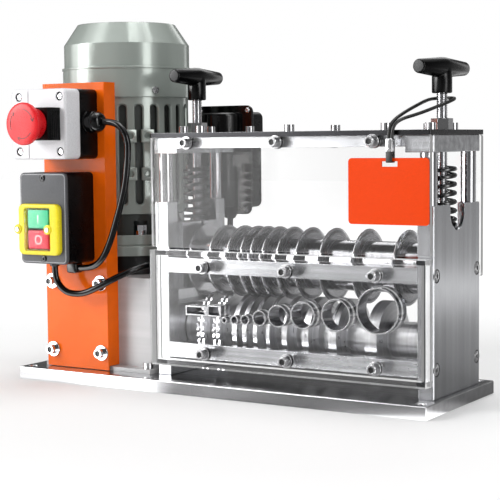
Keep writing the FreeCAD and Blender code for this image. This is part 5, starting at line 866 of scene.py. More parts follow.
@dataclass(frozen=True)
class Studio:
    """A pale floor, soft lamps and the camera."""

    camera_place: Point = (0.71196, -1.13167, 0.23676)
    yaw: float = 32.0
    pitch: float = 4.475
    roll: float = -0.576
    lens: float = 99.86
    floor_size: float = 12.0
    dim: float = 0.13
    softboxes: tuple[tuple[float, float, float], ...] = (
        (-58.0, 32.0, 3.0), (-50.0, 16.0, 5.6), (-18.0, 44.0, 0.26), (76.0, 22.0, 0.8), (74.0, 10.0, 4.5),
        (146.0, 32.0, 0.2), (175.0, 7.0, 1.1),
    )
    floor_card: tuple[float, float, float, float] = (150.0, 40.0, 1.13, 0.9)
    floor_colour: Colour = (236, 236, 236)
    floor_mirrored: float = 0.14
    backdrop: float = 0.42
    lamps: tuple[tuple[str, Point, Point, float, float], ...] = (
        ("key_softbox", (-1.5, -1.7, 1.1), (0.0, 0.0, 0.16), 1.1, 36.0),
        ("fill_softbox", (1.9, -0.9, 1.2), (0.0, 0.0, 0.15), 0.8, 10.0),
        ("top_softbox", (0.1, 0.2, 1.9), (0.0, 0.0, 0.1), 0.9, 14.0),
        ("back_softbox", (-0.6, 1.9, 1.7), (0.0, 0.0, 0.2), 1.2, 8.0),
    )

    def build(self) -> None:
        """Make the floor, the lamps, the world and the camera."""
        self.build_camera()
        self.build_floor()
        self.build_world()
        for lamp in self.lamps:
            self.lamp(*lamp)

    def build_camera(self) -> None:
        """Place the camera from its bearing, tilt and roll."""
        yaw, pitch, roll = (math.radians(angle) for angle in (self.yaw, self.pitch, self.roll))
        forward = Vector((-math.sin(yaw) * math.cos(pitch), math.cos(yaw) * math.cos(pitch), -math.sin(pitch)))
        level = Vector((math.cos(yaw), math.sin(yaw), 0.0))
        upright = level.cross(forward)
        right = level * math.cos(roll) + upright * math.sin(roll)
        up = upright * math.cos(roll) - level * math.sin(roll)
        data = bpy.data.cameras.new("photo_camera")
        data.lens = self.lens
        data.sensor_width = 36.0
        data.clip_start = 0.01
        data.clip_end = 60.0
        camera = bpy.data.objects.new("photo_camera", data)
        turn = Matrix((right, up, -forward)).transposed().to_4x4()
        camera.matrix_world = Matrix.Translation(self.camera_place) @ turn
        bpy.context.scene.collection.objects.link(camera)
        bpy.context.scene.camera = camera

    def build_floor(self) -> None:
        """Lay a wide pale floor that the camera sees as nearly white."""
        shape = bmesh.new()
        bmesh.ops.create_grid(shape, x_segments=1, y_segments=1, size=self.floor_size / 2)
        mesh = to_mesh(shape, "studio_floor")
        paint = bpy.data.materials.new("studio_floor")
        paint.use_nodes = True
        sheet = NodeSheet(paint.node_tree)
        shader = paint.node_tree.nodes["Principled BSDF"]
        shader.inputs["Roughness"].default_value = 0.85
        shader.inputs["Emission Color"].default_value = WHITE
        direct, mirrored = self.sight(sheet)
        shade = sheet.blend(mirrored, linear(self.floor_colour), shaded(WHITE, self.floor_mirrored))
        place = sheet.place()
        far = sheet.length(place)
        around = sheet.sum("MULTIPLY", self.glow(sheet, place), sheet.spread(far, 0.5, 1.0, 0.25, 1.9))
        angle, width, middle, strength = self.floor_card
        card = self.band(sheet, place, angle, width, strength)
        inside = sheet.spread(far, 0.0, 1.0, middle * 0.6, middle)
        ring = sheet.sum("MULTIPLY", inside, sheet.spread(far, 1.0, 0.0, middle, middle * 1.35))
        around = sheet.sum("ADD", around, sheet.sum("MULTIPLY", card, ring))
        level = sheet.spread(far, 0.04, 0.64, 0.35, 2.6)
        seen = sheet.sum("ADD", sheet.sum("MULTIPLY", direct, level), sheet.sum("MULTIPLY", mirrored, around))
        paint.node_tree.links.new(shade, shader.inputs["Base Color"])
        paint.node_tree.links.new(seen, shader.inputs["Emission Strength"])
        mesh.materials.append(paint)
        floor = bpy.data.objects.new("studio_floor", mesh)
        bpy.context.scene.collection.objects.link(floor)

    def sight(self, sheet: NodeSheet) -> tuple[Socket, Socket]:
        """Tell what the camera sees straight or through the guards from what it sees mirrored.

        Args:
            sheet: The tree of the floor or the world.

        Returns:
            Two masks: seen straight or through clear sheets, and seen in a reflection.
        """
        path = sheet.add("ShaderNodeLightPath").outputs
        mirrored = sheet.sum("GREATER_THAN", path["Glossy Depth"], 0.5)
        scattered = sheet.sum("GREATER_THAN", path["Diffuse Depth"], 0.5)
        bounced = sheet.sum("MAXIMUM", mirrored, scattered)
        through = sheet.sum("MULTIPLY", path["Is Transmission Ray"], sheet.sum("SUBTRACT", 1.0, bounced))
        straight = sheet.sum("MAXIMUM", path["Is Camera Ray"], through)
        return straight, sheet.sum("MULTIPLY", mirrored, sheet.sum("SUBTRACT", 1.0, scattered))

    def glow(self, sheet: NodeSheet, way: Socket) -> Socket:
        """Give the room's brightness in a mirror, with its softboxes.

        Args:
            sheet: The tree of the floor or the world.
            way: The direction in which the mirror sees the room.

        Returns:
            The brightness, where 1 is white.
        """
        total: Value = self.dim
        for angle, width, strength in self.softboxes:
            total = sheet.sum("ADD", total, self.band(sheet, way, angle, width, strength))
        return total

    def band(self, sheet: NodeSheet, way: Socket, angle: float, width: float, strength: float) -> Socket:
        """Give the brightness of one upright band of the room.

        Args:
            sheet: The tree of the floor or the world.
            way: The direction in which the mirror sees the room.
            angle: Where the band stands, in degrees from the front to the right.
            width: How far it reaches to each side, in degrees.
            strength: How bright its middle is.

        Returns:
            The brightness that the band adds.
        """
        level = sheet.vector("MULTIPLY", way, (1.0, 1.0, 0.0))
        bearing = sheet.add("ShaderNodeVectorMath", {0: level}, operation="NORMALIZE").outputs[0]
        turn = math.radians(angle)
        toward = (math.sin(turn), -math.cos(turn), 0.0)
        start, end = math.cos(math.radians(width)), math.cos(math.radians(width * 0.4))
        inputs = {"Value": sheet.dot(bearing, toward), "From Min": start, "From Max": end, "To Max": strength}
        return sheet.add("ShaderNodeMapRange", inputs, interpolation_type="SMOOTHSTEP").outputs[0]

    def build_world(self) -> None:
        """Make a white backdrop over a plainer light for the object."""
        world = bpy.data.worlds.new("studio_world")
        world.use_nodes = True
        world.node_tree.nodes.clear()
        sheet = NodeSheet(world.node_tree)
        light = sheet.add("ShaderNodeBackground", {"Color": WHITE, "Strength": self.backdrop})
        direct, mirrored = self.sight(sheet)
        way = sheet.add("ShaderNodeTexCoord").outputs["Generated"]
        height = sheet.add("ShaderNodeSeparateXYZ", {0: way}).outputs["Z"]
        around = sheet.sum("MULTIPLY", self.glow(sheet, way), sheet.spread(height, 1.0, 0.3, 0.16, 0.5))
        room = sheet.sum("ADD", around, sheet.spread(height, 0.0, 0.8, 0.62, 0.85))
        strength = sheet.sum("MAXIMUM", direct, room)
        room_light = sheet.add("ShaderNodeBackground", {"Color": WHITE, "Strength": strength})
        seen = sheet.sum("MAXIMUM", direct, mirrored)
        mixed = sheet.add("ShaderNodeMixShader", {0: seen, 1: light.outputs[0], 2: room_light.outputs[0]})
        sheet.add("ShaderNodeOutputWorld", {"Surface": mixed.outputs[0]})
        bpy.context.scene.world = world

    def lamp(self, name: str, place: Point, target: Point, size: float, power: float) -> None:
        """Hang one soft square lamp and point it at the object."""
        data = bpy.data.lights.new(name, "AREA")
        data.shape = "SQUARE"
        data.size = size
        data.energy = power
        lamp = bpy.data.objects.new(name, data)
        turn = (Vector(target) - Vector(place)).to_track_quat("-Z", "Y").to_matrix().to_4x4()
        lamp.matrix_world = Matrix.Translation(place) @ turn
        bpy.context.scene.collection.objects.link(lamp)


@dataclass(frozen=True)
class LiftingScrews:
    """The two threaded screws over the blade carriage, with their springs and handles."""

    places: tuple[float, float] = (-0.0575, 0.204)
    axis_y: float = 0.004
    thread_radius: float = 0.005
    pitch: float = 0.0015
    depth: float = 0.0008
    sides: int = 20
    spring_radius: float = 0.0117
    spring_wire: float = 0.0036
    spring_turns: float = 7.5
    spring_length: float = 0.055
    spring_gap: float = 0.0006
    spring_bottom: float = 0.1595
    sides_per_turn: int = 32
    handle_half: float = 0.0385
    handle_belly: float = 0.009
    handle_end: float = 0.00625
    handle_turns: tuple[float, float] = (0.0, -7.0)

    def build(self, bench: Bench) -> None:
        """Cut the threads, wind the springs and dress the handles."""
        for x, body, side in zip(self.places, (Body.LEFT_SCREW, Body.RIGHT_SCREW), ("left", "right")):
            self.build_screw(bench, x, body, side)
            self.build_handle(bench, x, body, side)
        self.build_springs(bench)

    def build_screw(self, bench: Bench, x: float, body: Body, side: str) -> None:
        """Cut a thread on one screw above its neck.

        Args:
            bench: Where the pieces are made.
            x: The screw's place.
            body: The screw's body.
            side: The screw's side, as its node is named.
        """
        low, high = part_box(f"{side}_screw")
        start = low.z + 0.0106
        turns = math.ceil((high.z - start) / self.pitch) + 2
        shape = bmesh.new()
        root = self.thread_radius - self.depth
        crest = self.thread_radius
        flanks = ((0.0, root), (0.12, root), (0.44, crest), (0.56, crest), (0.88, root), (1.0, root))
        points = [shape.verts.new((radius, 0.0, start + (share - 1) * self.pitch)) for share, radius in flanks]
        edges = [shape.edges.new(pair) for pair in zip(points, points[1:])]
        bmesh.ops.spin(
            shape, geom=points + edges, cent=ORIGIN, axis=UP, dvec=UP * (self.pitch / self.sides),
            angle=FULL_TURN * turns, steps=self.sides * turns, use_merge=False,
        )
        bmesh.ops.remove_doubles(shape, verts=shape.verts, dist=1e-6)
        for height, way in ((start, -1), (high.z, 1)):
            whole = shape.verts[:] + shape.edges[:] + shape.faces[:]
            bmesh.ops.bisect_plane(
                shape, geom=whole, plane_co=(0, 0, height), plane_no=(0, 0, way), clear_outer=True,
            )
            rim = [edge for edge in shape.edges if edge.is_boundary and abs(edge.verts[0].co.z - height) < WELD]
            bmesh.ops.holes_fill(shape, edges=rim, sides=0)
        bmesh.ops.recalc_face_normals(shape, faces=shape.faces)
        bmesh.ops.translate(shape, vec=(x, self.axis_y, 0.0), verts=shape.verts)
        foot = turned(
            ((0.0, 0.0), (0.0, 0.0064), (0.0006, 0.007), (0.0044, 0.007), (0.005, 0.0064), (0.005, 0.004),
             (0.0108, 0.004), (0.0108, 0.0)),
            (x, self.axis_y, low.z), UP, 40,
        )
        bench.piece(
            f"{side}_threaded_screw", joined(shape, foot), NICKEL, body, 24.0, stands_for=f"{side}_screw",
        )

    def build_handle(self, bench: Bench, x: float, body: Body, side: str) -> None:
        """Mould one T-handle with its tapered bar and its end caps.

        Args:
            bench: Where the pieces are made.
            x: The screw's place.
            body: The screw's body.
            side: The handle's side, as its node is named.
        """
        low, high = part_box(f"{side}_handle")
        half, belly, end = self.handle_half, self.handle_belly, self.handle_end
        level = high.z - belly
        turn = Matrix.Rotation(math.radians(self.handle_turns[self.places.index(x)]), 3, "Z")
        way = turn @ BACK
        taper = (
            (half, 0.0), (half, end - 0.0008), (half - 0.0003, end - 0.0003), (half - 0.0009, end),
            (0.006, belly - 0.0003), (0.003, belly),
        )
        profile = [(-along, radius) for along, radius in taper] + [(0.0, belly + 0.00002)] + list(reversed(taper))
        bar = turned(profile, (x, self.axis_y, level), way, 64)
        rise = level - low.z
        boss = turned(
            ((0.0, 0.0), (0.0, belly - 0.0009), (0.0003, belly - 0.0003), (0.0009, belly), (rise - 0.0005, belly),
             (rise, belly - 0.0004), (rise, 0.0)),
            (x, self.axis_y, low.z), UP, 64,
        )
        bench.piece(
            f"{side}_tapered_handle", joined(bar, boss), HANDLE_BLACK, body, 50.0,
            stands_for=f"{side}_handle",
        )
        caps = []
        for side_way in (-way, way):
            face = Vector((x, self.axis_y, level)) + side_way * half
            profile = (
                (-0.0004, 0.0), (-0.0004, end - 0.0013), (0.00005, end - 0.0014), (0.00012, end - 0.0019),
                (0.00012, 0.0),
            )
            caps.append(turned(profile, tuple(face), side_way, 48))
        bench.piece(f"{side}_handle_caps", joined(*caps), HANDLE_CAP, body, 30.0)

    def spring_heights(self) -> list[float]:
        """Return the height of each step of the wire, close wound at both ends."""
        steps = int(self.spring_turns * self.sides_per_turn)
        closed = self.spring_wire + self.spring_gap
        shares = []
        for step in range(steps):
            nearest = min(step + 0.5, steps - step - 0.5) / (self.sides_per_turn / 4)
            shares.append(min(max((nearest - 3) / 2, 0.0), 1.0))
        lift = self.spring_length - self.spring_wire
        extra = (lift - closed * self.spring_turns) * self.sides_per_turn / sum(shares)
        heights = [0.0]
        for share in shares:
            heights.append(heights[-1] + (closed + extra * share) / self.sides_per_turn)
        return heights

    def build_springs(self, bench: Bench) -> None:
        """Wind both springs round the screws."""
        curve = bpy.data.curves.new("compression_springs", "CURVE")
        curve.dimensions = "3D"
        heights = self.spring_heights()
        for x in self.places:
            spline = curve.splines.new("POLY")
            spline.points.add(len(heights) - 1)
            for step, (point, height) in enumerate(zip(spline.points, heights)):
                angle = FULL_TURN * step / self.sides_per_turn
                place = (
                    x + self.spring_radius * math.cos(angle),
                    self.axis_y + self.spring_radius * math.sin(angle),
                    self.spring_bottom + self.spring_wire / 2 + height,
                )
                point.co = (*place, 1.0)
        curve.bevel_depth = self.spring_wire / 2
        curve.bevel_resolution = 4
        curve.use_fill_caps = True
        wound = bpy.data.objects.new("wound", curve)
        mesh = bpy.data.meshes.new_from_object(wound)
        bpy.data.objects.remove(wound)
        shape = to_shape(mesh)
        bmesh.ops.remove_doubles(shape, verts=shape.verts, dist=1e-6)
        bench.piece(
            "compression_springs", shape, SPRING_BLACK, Body.CARRIAGE, 60.0, stands_for="springs",
        )


@dataclass(frozen=True)
class Cord:
    """A cord's name, route, thickness and finish."""

    name: str
    node: str
    route: tuple[Point, ...]
    diameter: float
    finish: Finish
    slot: str
    stiffness: str
    lay: str

    def build(self, bench: Bench, length: float) -> bpy.types.Object:
        """Lay the cord along its route.

        Args:
            bench: Where the piece is made.
            length: The cord's real length in metres; not used.

        Returns:
            The cord's curve.
        """
        curve = bpy.data.curves.new(self.name, "CURVE")
        curve.dimensions = "3D"
        spline = curve.splines.new("NURBS")
        spline.points.add(len(self.route) - 1)
        for point, place in zip(spline.points, self.route):
            point.co = (*place, 1.0)
        spline.order_u = 3
        spline.use_endpoint_u = True
        spline.resolution_u = 10
        curve.bevel_depth = self.diameter / 2
        curve.bevel_resolution = 5
        curve.use_fill_caps = True
        curve.materials.append(self.finish.material())
        made = bench.settle(bpy.data.objects.new(self.name, curve), Body.FRAME)
        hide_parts(self.node)
        return made


def in_metres(*places: Point) -> tuple[Point, ...]:
    """Turn a route in millimetres into metres."""
    return tuple((x / 1000, y / 1000, z / 1000) for x, y, z in places)


@dataclass(frozen=True)
class Cables:
    """The two control cables and the tag's strap."""

    def build(self, bench: Bench) -> None:
        """Lay the three cords."""
        estop = Cord(
            "estop_lead", "estop_cable",
            in_metres(
                (-118.0, -69.0, 257.0), (-105.6, -69.0, 257.0), (-94.2, -69.0, 250.6), (-88.0, -69.0, 238.8),
                (-88.4, -69.0, 222.0), (-91.5, -69.0, 199.0), (-97.0, -69.0, 180.0), (-104.0, -69.0, 160.5),
                (-111.0, -69.0, 142.0), (-120.5, -69.0, 124.5), (-134.5, -69.0, 114.5), (-150.0, -69.0, 114.5),
            ),
            0.0064, CABLE_BLACK, "cable_rubber", "medium", "hanging",
        )
        motor = Cord(
            "motor_lead", "motor_cable",
            in_metres(
                (-176.0, -75.0, 116.0), (-176.0, -75.0, 107.0), (-172.5, -74.7, 98.4), (-165.9, -74.0, 92.1),
                (-157.6, -72.8, 89.0), (-144.0, -69.8, 89.4), (-129.0, -67.0, 96.2), (-115.5, -61.5, 103.8),
                (-104.8, -52.5, 110.3), (-96.5, -40.0, 115.3), (-91.0, -24.0, 117.5), (-88.0, -4.0, 117.8),
                (-86.5, 18.0, 117.0), (-85.5, 40.0, 116.0), (-84.3, 60.0, 116.0), (-83.3, 78.0, 119.0),
                (-82.4, 94.0, 127.5), (-82.0, 104.0, 141.0), (-82.0, 104.0, 156.0),
            ),
            0.0064, CABLE_BLACK, "cable_rubber", "medium", "hanging",
        )
        strap = Cord(
            "hanging_strap", "tag_strap",
            in_metres(
                (182.4, -58.6, 238.0), (182.4, -58.6, 246.5), (185.2, -54.4, 254.0), (189.2, -38.5, 261.4),
                (191.8, -19.0, 267.6), (193.0, -4.0, 271.6), (193.0, 8.55, 273.2), (199.45, 15.0, 273.6),
                (208.55, 15.0, 273.6), (215.0, 8.55, 272.8), (214.7, -4.0, 269.8), (207.0, -20.0, 264.2),
                (199.4, -37.0, 258.8), (190.4, -53.6, 254.4), (185.6, -58.6, 247.4), (185.6, -58.6, 238.0),
            ),
            0.003, STRAP_BLACK, "strap_rubber", "limp", "loose",
        )
        estop.build(bench, 0.19)
        motor.build(bench, 0.28)
        strap.build(bench, 0.197)


@dataclass(frozen=True)
class StopButton:
    """The emergency stop: its two-part box, its screws and the red head with arrows."""

    low: Point = (-0.203, -0.1035, 0.2215)
    high: Point = (-0.135, -0.0825, 0.289)
    corner: float = 0.005
    rim: float = 0.0024
    seam_x: float = -0.1811
    seam_half: float = 0.0004
    seam_depth: float = 0.0007
    clear: float = 0.001
    screw_places: tuple[tuple[float, float], ...] = (
        (-0.193, 0.229), (-0.193, 0.2815), (-0.1425, 0.229), (-0.1425, 0.2815),
    )
    recess_radius: float = 0.0042
    recess_depth: float = 0.003
    axis: tuple[float, float] = (-0.1575, 0.25525)
    stem_radius: float = 0.0084
    stem_hole: float = 0.0135
    head_back: float = -0.122
    neck_start: float = -0.1355
    face: float = -0.141
    neck_radius: float = 0.0147
    cap_radius: float = 0.02
    arrow_radius: float = 0.0134
    arrow_width: float = 0.0006
    arrow_span: float = 74.0
    arrow_middles: tuple[float, ...] = (166.0, 46.0, -74.0)

    def build(self, bench: Bench) -> None:
        """Build the cover, its screws, the head and its arrows."""
        self.build_cover(bench)
        self.build_screws(bench)
        self.build_head(bench)
        self.build_arrows(bench)
        bench.dress(BLACK_BOX, "estop_base", "estop_collar", "estop_stem")

    def build_cover(self, bench: Bench) -> None:
        """Mould the pale cover with its seam and its screw recesses."""
        before, low, high = self.low[1] - self.clear, self.low[2] - self.clear, self.high[2] + self.clear
        cover = slab(self.low, self.high, self.corner, self.rim)
        tools = [
            prism((x, before, z), BACK, self.recess_radius, self.recess_depth + self.clear, 36)
            for x, z in self.screw_places
        ]
        tools.append(prism((self.axis[0], before, self.axis[1]), BACK, self.stem_radius, self.stem_hole, 40))
        left, right = self.seam_x - self.seam_half, self.seam_x + self.seam_half
        tools.append(box((left, before, low), (right, self.low[1] + self.seam_depth, high)))
        bench.piece(
            "stop_cover_shell", carved(cover, *tools), COVER_GREY, Body.FRAME, 40.0,
            stands_for="estop_cover",
        )

    def build_screws(self, bench: Bench) -> None:
        """Set the slotted screws at the bottom of the recesses, with a ring of painted shade in the gap round them."""
        heads, gap_shades = [], []
        for number, (x, z) in enumerate(self.screw_places):
            seat = (x, self.low[1] + self.recess_depth, z)
            head = turned(
                ((-0.0004, 0.0), (-0.0004, 0.0032), (0.0016, 0.0032), (0.0021, 0.0026), (0.0023, 0.0)), seat, FRONT, 32,
            )
            gap = self.recess_radius - 0.00005
            gap_shades.append(turned(
                ((-0.0003, 0.0032), (-0.0003, gap), (0.0022, gap), (0.0022, gap - 0.0002), (0.0003, gap - 0.0002),
                 (0.0003, 0.0032), (-0.0003, 0.0032)),
                seat, FRONT, 36,
            ))
            slot = box((-0.0005, -0.0009, -0.0024), (0.0005, 0.0020, 0.0024))
            cross = box((-0.0024, -0.0009, -0.0005), (0.0024, 0.0020, 0.0005))
            for blade in (slot, cross):
                place = Matrix.Translation((x, seat[1] - 0.0030, z)) @ Matrix.Rotation(0.5 + 0.7 * number, 4, "Y")
                bmesh.ops.transform(blade, matrix=place, verts=blade.verts)
            heads.append(carved(head, slot, cross))
        bench.piece("stop_cover_screws", joined(*heads), NICKEL, Body.FRAME, stands_for="control_screws")
        # The ring round each head is painted shade.
        bench.piece("stop_screw_gap_shades", joined(*gap_shades), SOCKET_SHADE, Body.FRAME)

    def build_head(self, bench: Bench) -> None:
        """Turn the red mushroom head."""
        wide, slim, stem = self.cap_radius, self.neck_radius, self.stem_radius
        face, neck, back = self.face, self.neck_start, self.head_back
        profile = (
            (face, 0.0), (face, wide * 0.55), (face + 0.0002, wide * 0.8), (face + 0.0006, wide - 0.0014),
            (face + 0.0012, wide - 0.0005), (face + 0.0021, wide), (neck - 0.0012, wide),
            (neck - 0.0004, wide - 0.0004), (neck, wide - 0.0012), (neck, slim + 0.0012),
            (neck + 0.0005, slim + 0.0004), (neck + 0.0014, slim), (back - 0.0006, slim),
            (back, slim - 0.0006), (back, stem), (neck, stem), (neck, 0.0),
        )
        shape = turned(profile, (self.axis[0], 0.0, self.axis[1]), BACK, 96)
        bench.piece("stop_head_cap", shape, KNOB_RED, Body.STOP_KNOB, 50.0, stands_for="estop_head")

    def build_arrows(self, bench: Bench) -> None:
        """Print three curved arrows that show which way the head turns."""
        face, proud, sunk = self.face + 0.00005, 0.00012, 0.00008
        width, thin = self.arrow_width, 0.00001
        inner = self.arrow_radius
        arrows = []
        for middle in self.arrow_middles:
            start = math.radians(middle + self.arrow_span / 2)
            end = math.radians(middle - self.arrow_span / 2)
            arc = box((inner, face - proud, -thin), (inner + width, face + sunk, thin))
            bmesh.ops.delete(arc, geom=arc.faces[:], context="FACES_ONLY")
            bmesh.ops.delete(arc, geom=[vert for vert in arc.verts if vert.co.z > 0], context="VERTS")
            bmesh.ops.contextual_create(arc, geom=arc.edges[:])
            bmesh.ops.translate(arc, vec=UP * thin, verts=arc.verts)
            bmesh.ops.rotate(arc, cent=ORIGIN, matrix=Matrix.Rotation(-start, 3, "Y"), verts=arc.verts)
            bmesh.ops.spin(
                arc, geom=arc.verts[:] + arc.edges[:] + arc.faces[:], cent=ORIGIN, axis=BACK,
                angle=start - end, steps=28, use_merge=False,
            )
            for barb in (-1, 1):
                stroke = box((0.0, face - proud, -width / 2), (0.0036, face + sunk, width / 2))
                lean = Matrix.Rotation(math.radians(-90 - barb * 32), 4, "Y")
                tip = Matrix.Translation((inner + width / 2, 0, 0))
                bmesh.ops.transform(stroke, matrix=Matrix.Rotation(-end, 4, "Y") @ tip @ lean, verts=stroke.verts)
                arc = joined(arc, stroke)
            bmesh.ops.translate(arc, vec=(self.axis[0], 0.0, self.axis[1]), verts=arc.verts)
            bmesh.ops.recalc_face_normals(arc, faces=arc.faces)
            arrows.append(arc)
        bench.piece("stop_head_arrows", joined(*arrows), ARROW_RED, Body.STOP_KNOB)


@dataclass(frozen=True)
class SwitchBox:
    """The start and stop switch: its plate, yellow frame, clear cover and marked keys."""

    low: Point = (-0.1995, -0.0975, 0.120)
    high: Point = (-0.1415, -0.0945, 0.2085)
    corner: float = 0.005
    screw_places: tuple[tuple[float, float], ...] = ((-0.1705, 0.125), (-0.1705, 0.2035))
    frame_low: Point = (-0.1985, -0.1025, 0.1287)
    frame_high: Point = (-0.1475, -0.0975, 0.1785)
    window: tuple[float, float] = (-0.1743, 0.1536)
    window_size: tuple[float, float] = (0.032, 0.042)
    lug_places: tuple[float, ...] = (-0.1983, -0.1610)
    lug_radius: float = 0.0047
    lug_rise: float = 0.0012
    key_size: tuple[float, float] = (0.026, 0.018)
    key_rise: float = 0.010
    key_front: float = -0.101
    key_back: float = -0.0895
    film_wall: float = 0.0006

    def build(self, bench: Bench) -> None:
        """Build the plate, the frame, the clear cover, the keys and the screws."""
        bench.dress(BLACK_BOX, "switch_body")
        self.build_plate(bench)
        self.build_frame(bench)
        self.build_keys(bench)
        self.build_cover(bench)

    def build_plate(self, bench: Bench) -> None:
        """Mould the speckled plate with its openings, a painted highlight round its rim and black screw caps."""
        front = self.low[1]
        tools = [prism((x, front - 0.001, z), BACK, 0.0036, 0.0022, 32) for x, z in self.screw_places]
        x, z = self.window
        wide, high = self.key_size[0] / 2 + 0.0004, self.key_size[1] + 0.0014
        tools.append(box((x - wide, front - 0.001, z - high), (x + wide, front + 0.004, z + high)))
        plate = carved(slab(self.low, self.high, self.corner, 0.0011), *tools)
        bench.piece(
            "switch_face_plate", plate, SWITCH_GREY, Body.FRAME, 40.0, stands_for="switch_plate",
        )
        # A thin pale ring round the plate's rim paints the highlight on its edge.
        rim_highlight_rings = []
        for inset, proud in ((0.0013, 0.00012), (0.0021, 0.001)):
            rim_highlight_rings.append(slab(
                (self.low[0] + inset, front - proud, self.low[2] + inset),
                (self.high[0] - inset, front + proud, self.high[2] - inset),
                self.corner - inset, 0.00004,
            ))
        bench.piece("switch_plate_rim_highlight", carved(*rim_highlight_rings), SWITCH_RIM_HIGHLIGHT, Body.FRAME, 40.0)
        caps = []
        for x, z in self.screw_places:
            caps.append(turned(
                ((-0.0016, 0.0), (-0.0016, 0.0034), (0.0002, 0.0034), (0.0006, 0.0028), (0.0007, 0.0014),
                 (-0.0004, 0.001), (-0.0006, 0.0)),
                (x, front, z), FRONT, 32,
            ))
        bench.piece(
            "switch_plate_screws", joined(*caps), BLACK_GLOSS, Body.FRAME, 30.0,
            stands_for="control_screws",
        )

    def build_frame(self, bench: Bench) -> None:
        """Mould the yellow frame with two lugs and set their screws."""
        x, z = self.window
        wide, high = self.window_size[0] / 2, self.window_size[1] / 2
        low, top = self.frame_low[1], self.frame_high[1]
        hole = slab((x - wide, low - 0.001, z - high), (x + wide, top + 0.001, z + high), 0.002, 0.0002)
        frame = carved(slab(self.frame_low, self.frame_high, 0.006, 0.0019), hole)
        lug = self.lug_radius
        lugs, screws = [], []
        for place in self.lug_places:
            lugs.append(turned(
                ((-0.0055, 0.0), (-0.0055, lug), (0.0004, lug), (self.lug_rise, lug - 0.0008), (self.lug_rise, 0.0)),
                (place, low, z), FRONT, 40,
            ))
            screws.append(socket_screw((place, low - self.lug_rise, z), FRONT, (0.0024, 0.0012)))
        bench.piece(
            "switch_yellow_frame", joined(frame, *lugs), SWITCH_YELLOW, Body.FRAME, 40.0,
            stands_for="switch_frame",
        )
        bench.piece("switch_lug_screws", joined(*screws), NICKEL, Body.FRAME)

    def build_keys(self, bench: Bench) -> None:
        """Mould the two keys and print I and O on them."""
        x, z = self.window
        wide, high = self.key_size[0] / 2, self.key_size[1] / 2
        for side, name, node, finish, body, slot in (
            (1, "start", "start_button", START_GREEN, Body.START_KEY, "start_green"),
            (-1, "stop", "stop_button", STOP_RED, Body.STOP_KEY, "stop_red"),
        ):
            middle = z + side * self.key_rise
            low = (x - wide, self.key_front, middle - high)
            key = slab(low, (x + wide, self.key_back, middle + high), 0.0012, 0.0012)
            bench.piece(f"{name}_key_cap", key, finish, body, 40.0, stands_for=node)
            front, proud, sunk = self.key_front, 0.00012, 0.0001
            if side > 0:
                mark = box((x - 0.0005, front - proud, middle - 0.004), (x + 0.0005, front + sunk, middle + 0.004))
            else:
                mark = turned(
                    ((-sunk, 0.0035), (proud, 0.0035), (proud, 0.0044), (-sunk, 0.0044), (-sunk, 0.0035)),
                    (x, front, middle), FRONT, 48,
                )
            bench.piece(f"{name}_key_mark", mark, PRINT_WHITE, body)

    def build_cover(self, bench: Bench) -> None:
        """Form the clear splash cover over the keys."""
        x, z = self.window
        wide, high = self.window_size[0] / 2 - 0.0004, self.window_size[1] / 2 - 0.0004
        outer = slab((x - wide, -0.1046, z - high), (x + wide, -0.1022, z + high), 0.003, 0.0014)
        wide, high = wide - self.film_wall, high - self.film_wall
        inner = slab((x - wide, -0.1041, z - high), (x + wide, -0.1018, z + high), 0.0026, 0.001)
        made = bench.piece("switch_clear_cover", carved(outer, inner), CLEAR_FILM, Body.FRAME, 50.0)
        made.visible_shadow = False


